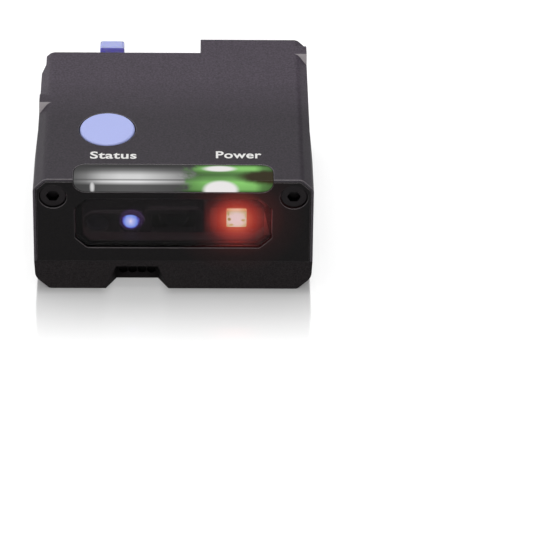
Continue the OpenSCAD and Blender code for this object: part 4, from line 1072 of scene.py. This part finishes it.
@dataclass
class Case(SubAssembly):
    """Housing, front cover, base tray, window and gasket, with the printed legends.

    Attributes:
        legends: Word, X of its middle, depth of its middle behind the front face and width, in mm.
        cap_mm: Height of a capital letter.
        cap_share: That height as a share of the font's size.
        bold: How far a stroke is widened, as a share of that height.
        spread: Distance between letters, 1 for the font's own.
        ink_mm: Thickness of the ink.
    """

    pieces: tuple[tuple[str, Finish, Edge], ...] = (
        ("housing", HOUSING_ABS, Edge.SOFT),
        ("front_cover", COVER_ABS, Edge.MOULDED),
        ("base_tray", BASE_ABS, Edge.SOFT),
        ("scan_window", WINDOW_PMMA, Edge.MOULDED),
        ("window_gasket", GASKET_EPDM, Edge.NONE),
    )
    legends: tuple[tuple[str, float, float, float], ...] = (
        ("Status", -10.4, 6.96, 8.0), ("Power", 11.1, 7.21, 7.85),
    )
    cap_mm: float = 1.95
    cap_share: float = 0.69
    bold: float = 0.032
    spread: float = 1.06
    ink_mm: float = 0.01

    def build(self) -> list[bpy.types.Object]:
        """Prints the legends on the top face.

        Returns:
            The legends.
        """
        low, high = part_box("housing")
        prints = []
        for word, x_mm, back_mm, width_mm in self.legends:
            curve = bpy.data.curves.new(f"legend_{word.lower()}", "FONT")
            curve.body = word
            curve.align_x = "CENTER"
            curve.align_y = "CENTER"
            curve.size = self.cap_mm / self.cap_share * MM
            curve.offset = self.bold * self.cap_mm * MM
            curve.space_character = self.spread
            curve.extrude = self.ink_mm / 2 * MM
            text = bpy.data.objects.new(f"legend_{word.lower()}", curve)
            bpy.context.scene.collection.objects.link(text)
            bpy.context.view_layer.update()
            mesh = bpy.data.meshes.new_from_object(text.evaluated_get(bpy.context.evaluated_depsgraph_get()))
            bpy.data.objects.remove(text)
            ink = bpy.data.objects.new(f"legend_{word.lower()}", mesh)
            bpy.context.scene.collection.objects.link(ink)
            ink.location = (x_mm * MM, low.y + back_mm * MM, high.z + self.ink_mm * MM)
            ink.scale.x = width_mm * MM / ink.dimensions.x
            ink.data.materials.clear()
            ink.data.materials.append(LEGEND_INK.material())
            bpy.context.view_layer.update()
            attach(ink, Body.CASE.value)
            prints.append(ink)
            LOG.info("printed %s", word)
        return prints


@dataclass
class Indicators(SubAssembly):
    """Light pipe and the board with the two LEDs that feed it."""

    pieces: tuple[tuple[str, Finish, Edge], ...] = (
        ("light_pipe", PIPE_PC, Edge.MOULDED),
        ("indicator_board", BOARD_GREEN, Edge.NONE),
        ("status_led", LED_UNLIT, Edge.FINE),
        ("power_led", LED_GREEN, Edge.FINE),
        ("indicator_screws", SCREW_ZINC, Edge.FINE),
        ("indicator_flex", FLEX_POLYIMIDE, Edge.NONE),
    )


@dataclass
class Trigger(SubAssembly):
    """Push button and the switch under it."""

    pieces: tuple[tuple[str, Finish, Edge], ...] = (
        ("trigger_button", BUTTON_PBT, Edge.MOULDED),
        ("switch_plunger", PLUNGER_POM, Edge.FINE),
        ("switch_body", CHIP_EPOXY, Edge.FINE),
    )


@dataclass
class Fasteners(SubAssembly):
    """Screws and inserts of the case."""

    pieces: tuple[tuple[str, Finish, Edge], ...] = (
        ("front_screws", SCREW_OXIDE, Edge.MOULDED),
        ("base_screws", SCREW_OXIDE, Edge.FINE),
        ("mounting_inserts", INSERT_BRASS, Edge.MOULDED),
    )


@dataclass
class ScanEngine(SubAssembly):
    """Camera, aimers and illumination behind the window."""

    pieces: tuple[tuple[str, Finish, Edge], ...] = (
        ("engine_chassis", ENGINE_BLACK, Edge.MOULDED),
        ("engine_board", BOARD_BLACK, Edge.NONE),
        ("camera_barrel", BARREL_BLACK, Edge.FINE),
        ("camera_lens", LENS_GLASS, Edge.NONE),
        ("image_sensor", SENSOR_SILICON, Edge.FINE),
        ("sensor_board", BOARD_GREEN, Edge.NONE),
        ("aimer_lens_outer", LENS_GLASS, Edge.NONE),
        ("aimer_lens_inner", AIMER_LIT, Edge.NONE),
        ("aimer_leds", LED_BLUE, Edge.FINE),
        ("illumination_led", LED_RED, Edge.MOULDED),
        ("illumination_board", LED_BOARD, Edge.NONE),
        ("processor_chip", CHIP_EPOXY, Edge.FINE),
        ("board_components", PART_CERAMIC, Edge.FINE),
        ("engine_screws", SCREW_ZINC, Edge.FINE),
        ("engine_mount_screws", SCREW_ZINC, Edge.FINE),
    )


@dataclass
class Interface(SubAssembly):
    """Interface board, flexes and the cable socket."""

    pieces: tuple[tuple[str, Finish, Edge], ...] = (
        ("interface_board", BOARD_GREEN, Edge.NONE),
        ("interface_chip", CHIP_EPOXY, Edge.FINE),
        ("interface_screws", SCREW_ZINC, Edge.FINE),
        ("flex_connectors", CONNECTOR_LCP, Edge.FINE),
        ("engine_flex", FLEX_POLYIMIDE, Edge.NONE),
        ("cable_socket", SOCKET_PBT, Edge.MOULDED),
        ("socket_contacts", CONTACT_GOLD, Edge.FINE),
    )


@dataclass
class Latch(SubAssembly):
    """Lever that holds the cable's plug, with its pin and spring.

    Attributes:
        bend_mm: Heights over the pivot between which the spring's leg turns from the case to the lever; not
            used.
    """

    pieces: tuple[tuple[str, Finish, Edge], ...] = (
        ("latch_lever", LATCH_POM, Edge.MOULDED),
        ("latch_pin", PIN_STEEL, Edge.FINE),
        ("latch_spring", PIN_STEEL, Edge.NONE),
    )
    bend_mm: tuple[float, float] = (0.95, 1.4)

    def build(self) -> bpy.types.Object:
        """Puts a copy of the spring in the place of the stiff one.

        Returns:
            The spring.
        """
        wire = bpy.data.objects.new("latch_spring_wire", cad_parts["latch_spring"].data.copy())
        bpy.context.scene.collection.objects.link(wire)
        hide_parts("latch_spring")
        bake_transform(wire)
        LOG.info("wound latch_spring_wire")
        return wire


@dataclass
class Studio:
    """White floor, soft lamps, white surroundings and the camera.

    Attributes:
        target_mm: Point of the object that the photograph's frame was fitted to.
        distance_mm: Camera's distance from that point.
        pitch_deg: How far the camera looks down.
        yaw_deg: How far the camera stands to the right, round the middle of the front face.
        front_mm: Y of the front face.
        lens_mm: Focal length on a 36 mm wide sensor.
        offset_mm: How far the frame's middle lies right of and above that point.
        lamps: Name, place, width and power of each soft lamp, in metres and watts.
        foot_mm: Half width and half depth of the object.
        mirror: Distance from the object in mm, and the shares of the floor's light that are mirrored there
            before the base's front opening and elsewhere.
        opening_mm: X of the middle of the base's front opening and half of its width.
        opening_fade_mm: How far the change at the opening's ends fades to both sides.
        floor_m: Half of the floor's width.
        floor_drop_mm: Gap between the object and the floor.
        paper: Colour of the floor.
        shine: Light that the floor adds to the eye, so that it is white.
        gloss: Roughness of what the floor mirrors.
        room: Level of the surroundings where they only light the object.
        room_x: Ways to the right between which mirrored surroundings turn darker, and their levels there.
    """

    target_mm: tuple[float, float, float] = (0.0, -2.5, 11.89)
    distance_mm: float = 586.04
    pitch_deg: float = 36.045
    yaw_deg: float = 0.36
    front_mm: float = -21.5
    lens_mm: float = 222.63
    offset_mm: tuple[float, float] = (16.55, -17.22)
    lamps: tuple[tuple[str, tuple[float, float, float], float, float], ...] = (
        ("overhead softbox", (-0.06, 0.1, 0.8), 0.7, 2.6),
        ("front key", (0.0, -0.47, 0.65), 0.2, 1.3),
    )
    foot_mm: tuple[float, float] = (24.2, 21.5)
    mirror: tuple[tuple[float, float, float], ...] = (
        (0.0, 0.4, 0.64), (0.6, 0.4, 0.6), (1.8, 0.39, 0.47), (3.5, 0.37, 0.4), (19.0, 0.0, 0.0),
    )
    opening_mm: tuple[float, float] = (-6.5, 5.2)
    opening_fade_mm: float = 1.5
    floor_m: float = 4.0
    floor_drop_mm: float = 0.05
    paper: str = "#f2f2f2"
    shine: float = 0.45
    gloss: float = 0.1
    room: float = 0.35
    room_x: tuple[tuple[float, float], tuple[float, float]] = ((0.1, 1.0), (0.5, 0.15))

    def floor(self) -> bpy.types.Object:
        """Lays the floor: white to the eye, with the object's shadow.

        Returns:
            The floor.
        """
        half, drop = self.floor_m, -self.floor_drop_mm * MM
        mesh = bpy.data.meshes.new("floor")
        corners = [(x * half, y * half, drop) for x, y in ((-1, -1), (1, -1), (1, 1), (-1, 1))]
        mesh.from_pydata(corners, [], [(0, 1, 2, 3)])
        plane = bpy.data.objects.new("floor", mesh)
        bpy.context.scene.collection.objects.link(plane)
        material = bpy.data.materials.new("paper_white_matt")
        material.use_nodes = True
        tree = material.node_tree
        tree.nodes.clear()
        paper = add_node(tree, "ShaderNodeBsdfDiffuse", {"Color": linear(self.paper)})
        seen = self.seen_ray(tree)
        shine = add_node(tree, "ShaderNodeMath", {"operation": "MULTIPLY", 1: self.shine}, {0: seen})
        light = add_node(tree, "ShaderNodeEmission", {"Color": WHITE}, {"Strength": shine.outputs["Value"]})
        both = add_node(tree, "ShaderNodeAddShader", links={
            0: paper.outputs["BSDF"], 1: light.outputs["Emission"],
        })
        gloss = add_node(tree, "ShaderNodeBsdfGlossy", {"Color": WHITE, "Roughness": self.gloss})
        part = add_node(tree, "ShaderNodeSeparateXYZ", links={
            "Vector": add_node(tree, "ShaderNodeTexCoord").outputs["Object"],
        })
        beside = []
        for axis, half_mm in zip("XY", self.foot_mm):
            out = add_node(tree, "ShaderNodeMath", {"operation": "ABSOLUTE"}, {0: part.outputs[axis]})
            beside.append(add_node(tree, "ShaderNodeMath", {"operation": "SUBTRACT", 1: half_mm * MM}, {
                0: out.outputs["Value"],
            }).outputs["Value"])
        away = add_node(tree, "ShaderNodeMath", {"operation": "MAXIMUM"}, {0: beside[0], 1: beside[1]})
        reach_mm = self.mirror[-1][0]
        near = add_node(tree, "ShaderNodeMapRange", {"From Max": reach_mm * MM}, {
            "Value": away.outputs["Value"],
        })
        gap, contact = (add_node(tree, "ShaderNodeValToRGB", {
            "stops": [(row[0] / reach_mm, row[column]) for row in self.mirror],
        }, {"Fac": near.outputs["Result"]}).outputs["Color"] for column in (1, 2))
        middle_mm, half_mm = self.opening_mm
        inner_mm, outer_mm = half_mm - self.opening_fade_mm, half_mm + self.opening_fade_mm
        aside = add_node(tree, "ShaderNodeMath", {"operation": "SUBTRACT", 1: middle_mm * MM}, {
            0: part.outputs["X"],
        })
        apart = add_node(tree, "ShaderNodeMath", {"operation": "ABSOLUTE"}, {0: aside.outputs["Value"]})
        shut = add_node(tree, "ShaderNodeMapRange", {
            "interpolation_type": "SMOOTHSTEP", "From Min": inner_mm * MM, "From Max": outer_mm * MM,
        }, {"Value": apart.outputs["Value"]})
        share = add_node(tree, "ShaderNodeMix", links={0: shut.outputs["Result"], 2: gap, 3: contact})
        sheet = add_node(tree, "ShaderNodeMixShader", links={
            0: share.outputs[0], 1: both.outputs["Shader"], 2: gloss.outputs["BSDF"],
        })
        add_node(tree, "ShaderNodeOutputMaterial", links={"Surface": sheet.outputs["Shader"]})
        mesh.materials.append(material)
        return plane

    def seen_ray(self, tree: bpy.types.NodeTree) -> bpy.types.NodeSocket:
        """Gives 1 for rays that show the surroundings, to the eye or in a mirror or pane.

        Args:
            tree: Node tree that takes the nodes.

        Returns:
            The socket with that value.
        """
        path = add_node(tree, "ShaderNodeLightPath")
        mirror = add_node(tree, "ShaderNodeMath", {"operation": "MAXIMUM"}, {
            0: path.outputs["Is Camera Ray"], 1: path.outputs["Is Glossy Ray"],
        })
        both = add_node(tree, "ShaderNodeMath", {"operation": "MAXIMUM"}, {
            0: mirror.outputs["Value"], 1: path.outputs["Is Transmission Ray"],
        })
        return both.outputs["Value"]

    def surroundings(self) -> None:
        """Sets white surroundings that light the object at a plain level."""
        world = bpy.data.worlds.new("white_room")
        world.use_nodes = True
        tree = world.node_tree
        tree.nodes.clear()
        # Glossy faces mirror a room that is darker to the right
        way = add_node(tree, "ShaderNodeSeparateXYZ", links={
            "Vector": add_node(tree, "ShaderNodeTexCoord").outputs["Generated"],
        })
        (left, bright), (right, dark) = self.room_x
        room = add_node(tree, "ShaderNodeMapRange", {
            "From Min": left, "From Max": right, "To Min": bright, "To Max": dark,
        }, {"Value": way.outputs["X"]})
        mirrored = add_node(tree, "ShaderNodeMix", {2: 1.0}, {
            0: add_node(tree, "ShaderNodeLightPath").outputs["Is Glossy Ray"], 3: room.outputs["Result"],
        })
        level = add_node(tree, "ShaderNodeMix", {2: self.room}, {
            0: self.seen_ray(tree), 3: mirrored.outputs[0],
        })
        sky = add_node(tree, "ShaderNodeBackground", {"Color": WHITE}, {"Strength": level.outputs[0]})
        add_node(tree, "ShaderNodeOutputWorld", links={"Surface": sky.outputs["Background"]})
        bpy.context.scene.world = world

    def light(self) -> None:
        """Hangs the soft lamps."""
        for name, place, width, power in self.lamps:
            data = bpy.data.lights.new(name, "AREA")
            data.shape = "SQUARE"
            data.size = width
            data.energy = power
            lamp = bpy.data.objects.new(name, data)
            lamp.location = place
            lamp.rotation_euler = (-Vector(place)).to_track_quat("-Z", "Y").to_euler()
            lamp.visible_camera = False
            bpy.context.scene.collection.objects.link(lamp)
            LOG.info("hung %s", name)

    def camera(self) -> bpy.types.Object:
        """Sets the camera at the photograph's viewing angle.

        Returns:
            The camera.
        """
        pitch = math.radians(self.pitch_deg)
        ahead = Vector((0.0, math.cos(pitch), -math.sin(pitch)))
        up = Vector((0.0, math.sin(pitch), math.cos(pitch)))
        target = Vector(self.target_mm)
        place = target - ahead * self.distance_mm
        middle = target + Vector((1.0, 0.0, 0.0)) * self.offset_mm[0] + up * self.offset_mm[1]
        yaw = Quaternion((0.0, 0.0, 1.0), math.radians(self.yaw_deg))
        turn = yaw @ ahead.rotation_difference(middle - place)
        front = Vector((0.0, self.front_mm, 0.0))
        place = front + yaw @ (place - front)
        data = bpy.data.cameras.new("camera")
        data.sensor_width = 36.0
        data.lens = self.lens_mm
        data.clip_start = 0.01
        view = bpy.data.objects.new("camera", data)
        view.rotation_mode = "QUATERNION"
        view.rotation_quaternion = turn @ ahead.to_track_quat("-Z", "Y")
        view.location = place * MM
        bpy.context.scene.collection.objects.link(view)
        bpy.context.scene.camera = view
        return view

    def build(self) -> None:
        """Builds the studio."""
        self.floor()
        self.surroundings()
        self.light()
        self.camera()
        bpy.context.scene.view_settings.view_transform = "Standard"


def main() -> None:
    """Dresses the solids, prints the legends and sets the studio."""
    logging.basicConfig(level=logging.INFO, format="%(name)s: %(message)s")
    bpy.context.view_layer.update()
    Studio().build()
    case = Case()
    case.dress()
    case.build()
    latch = Latch()
    for assembly in (Indicators(), Trigger(), Fasteners(), ScanEngine(), Interface(), latch):
        assembly.dress()
    latch.build()
    LOG.info("boxes written")


if __name__ == "__main__":
    main()
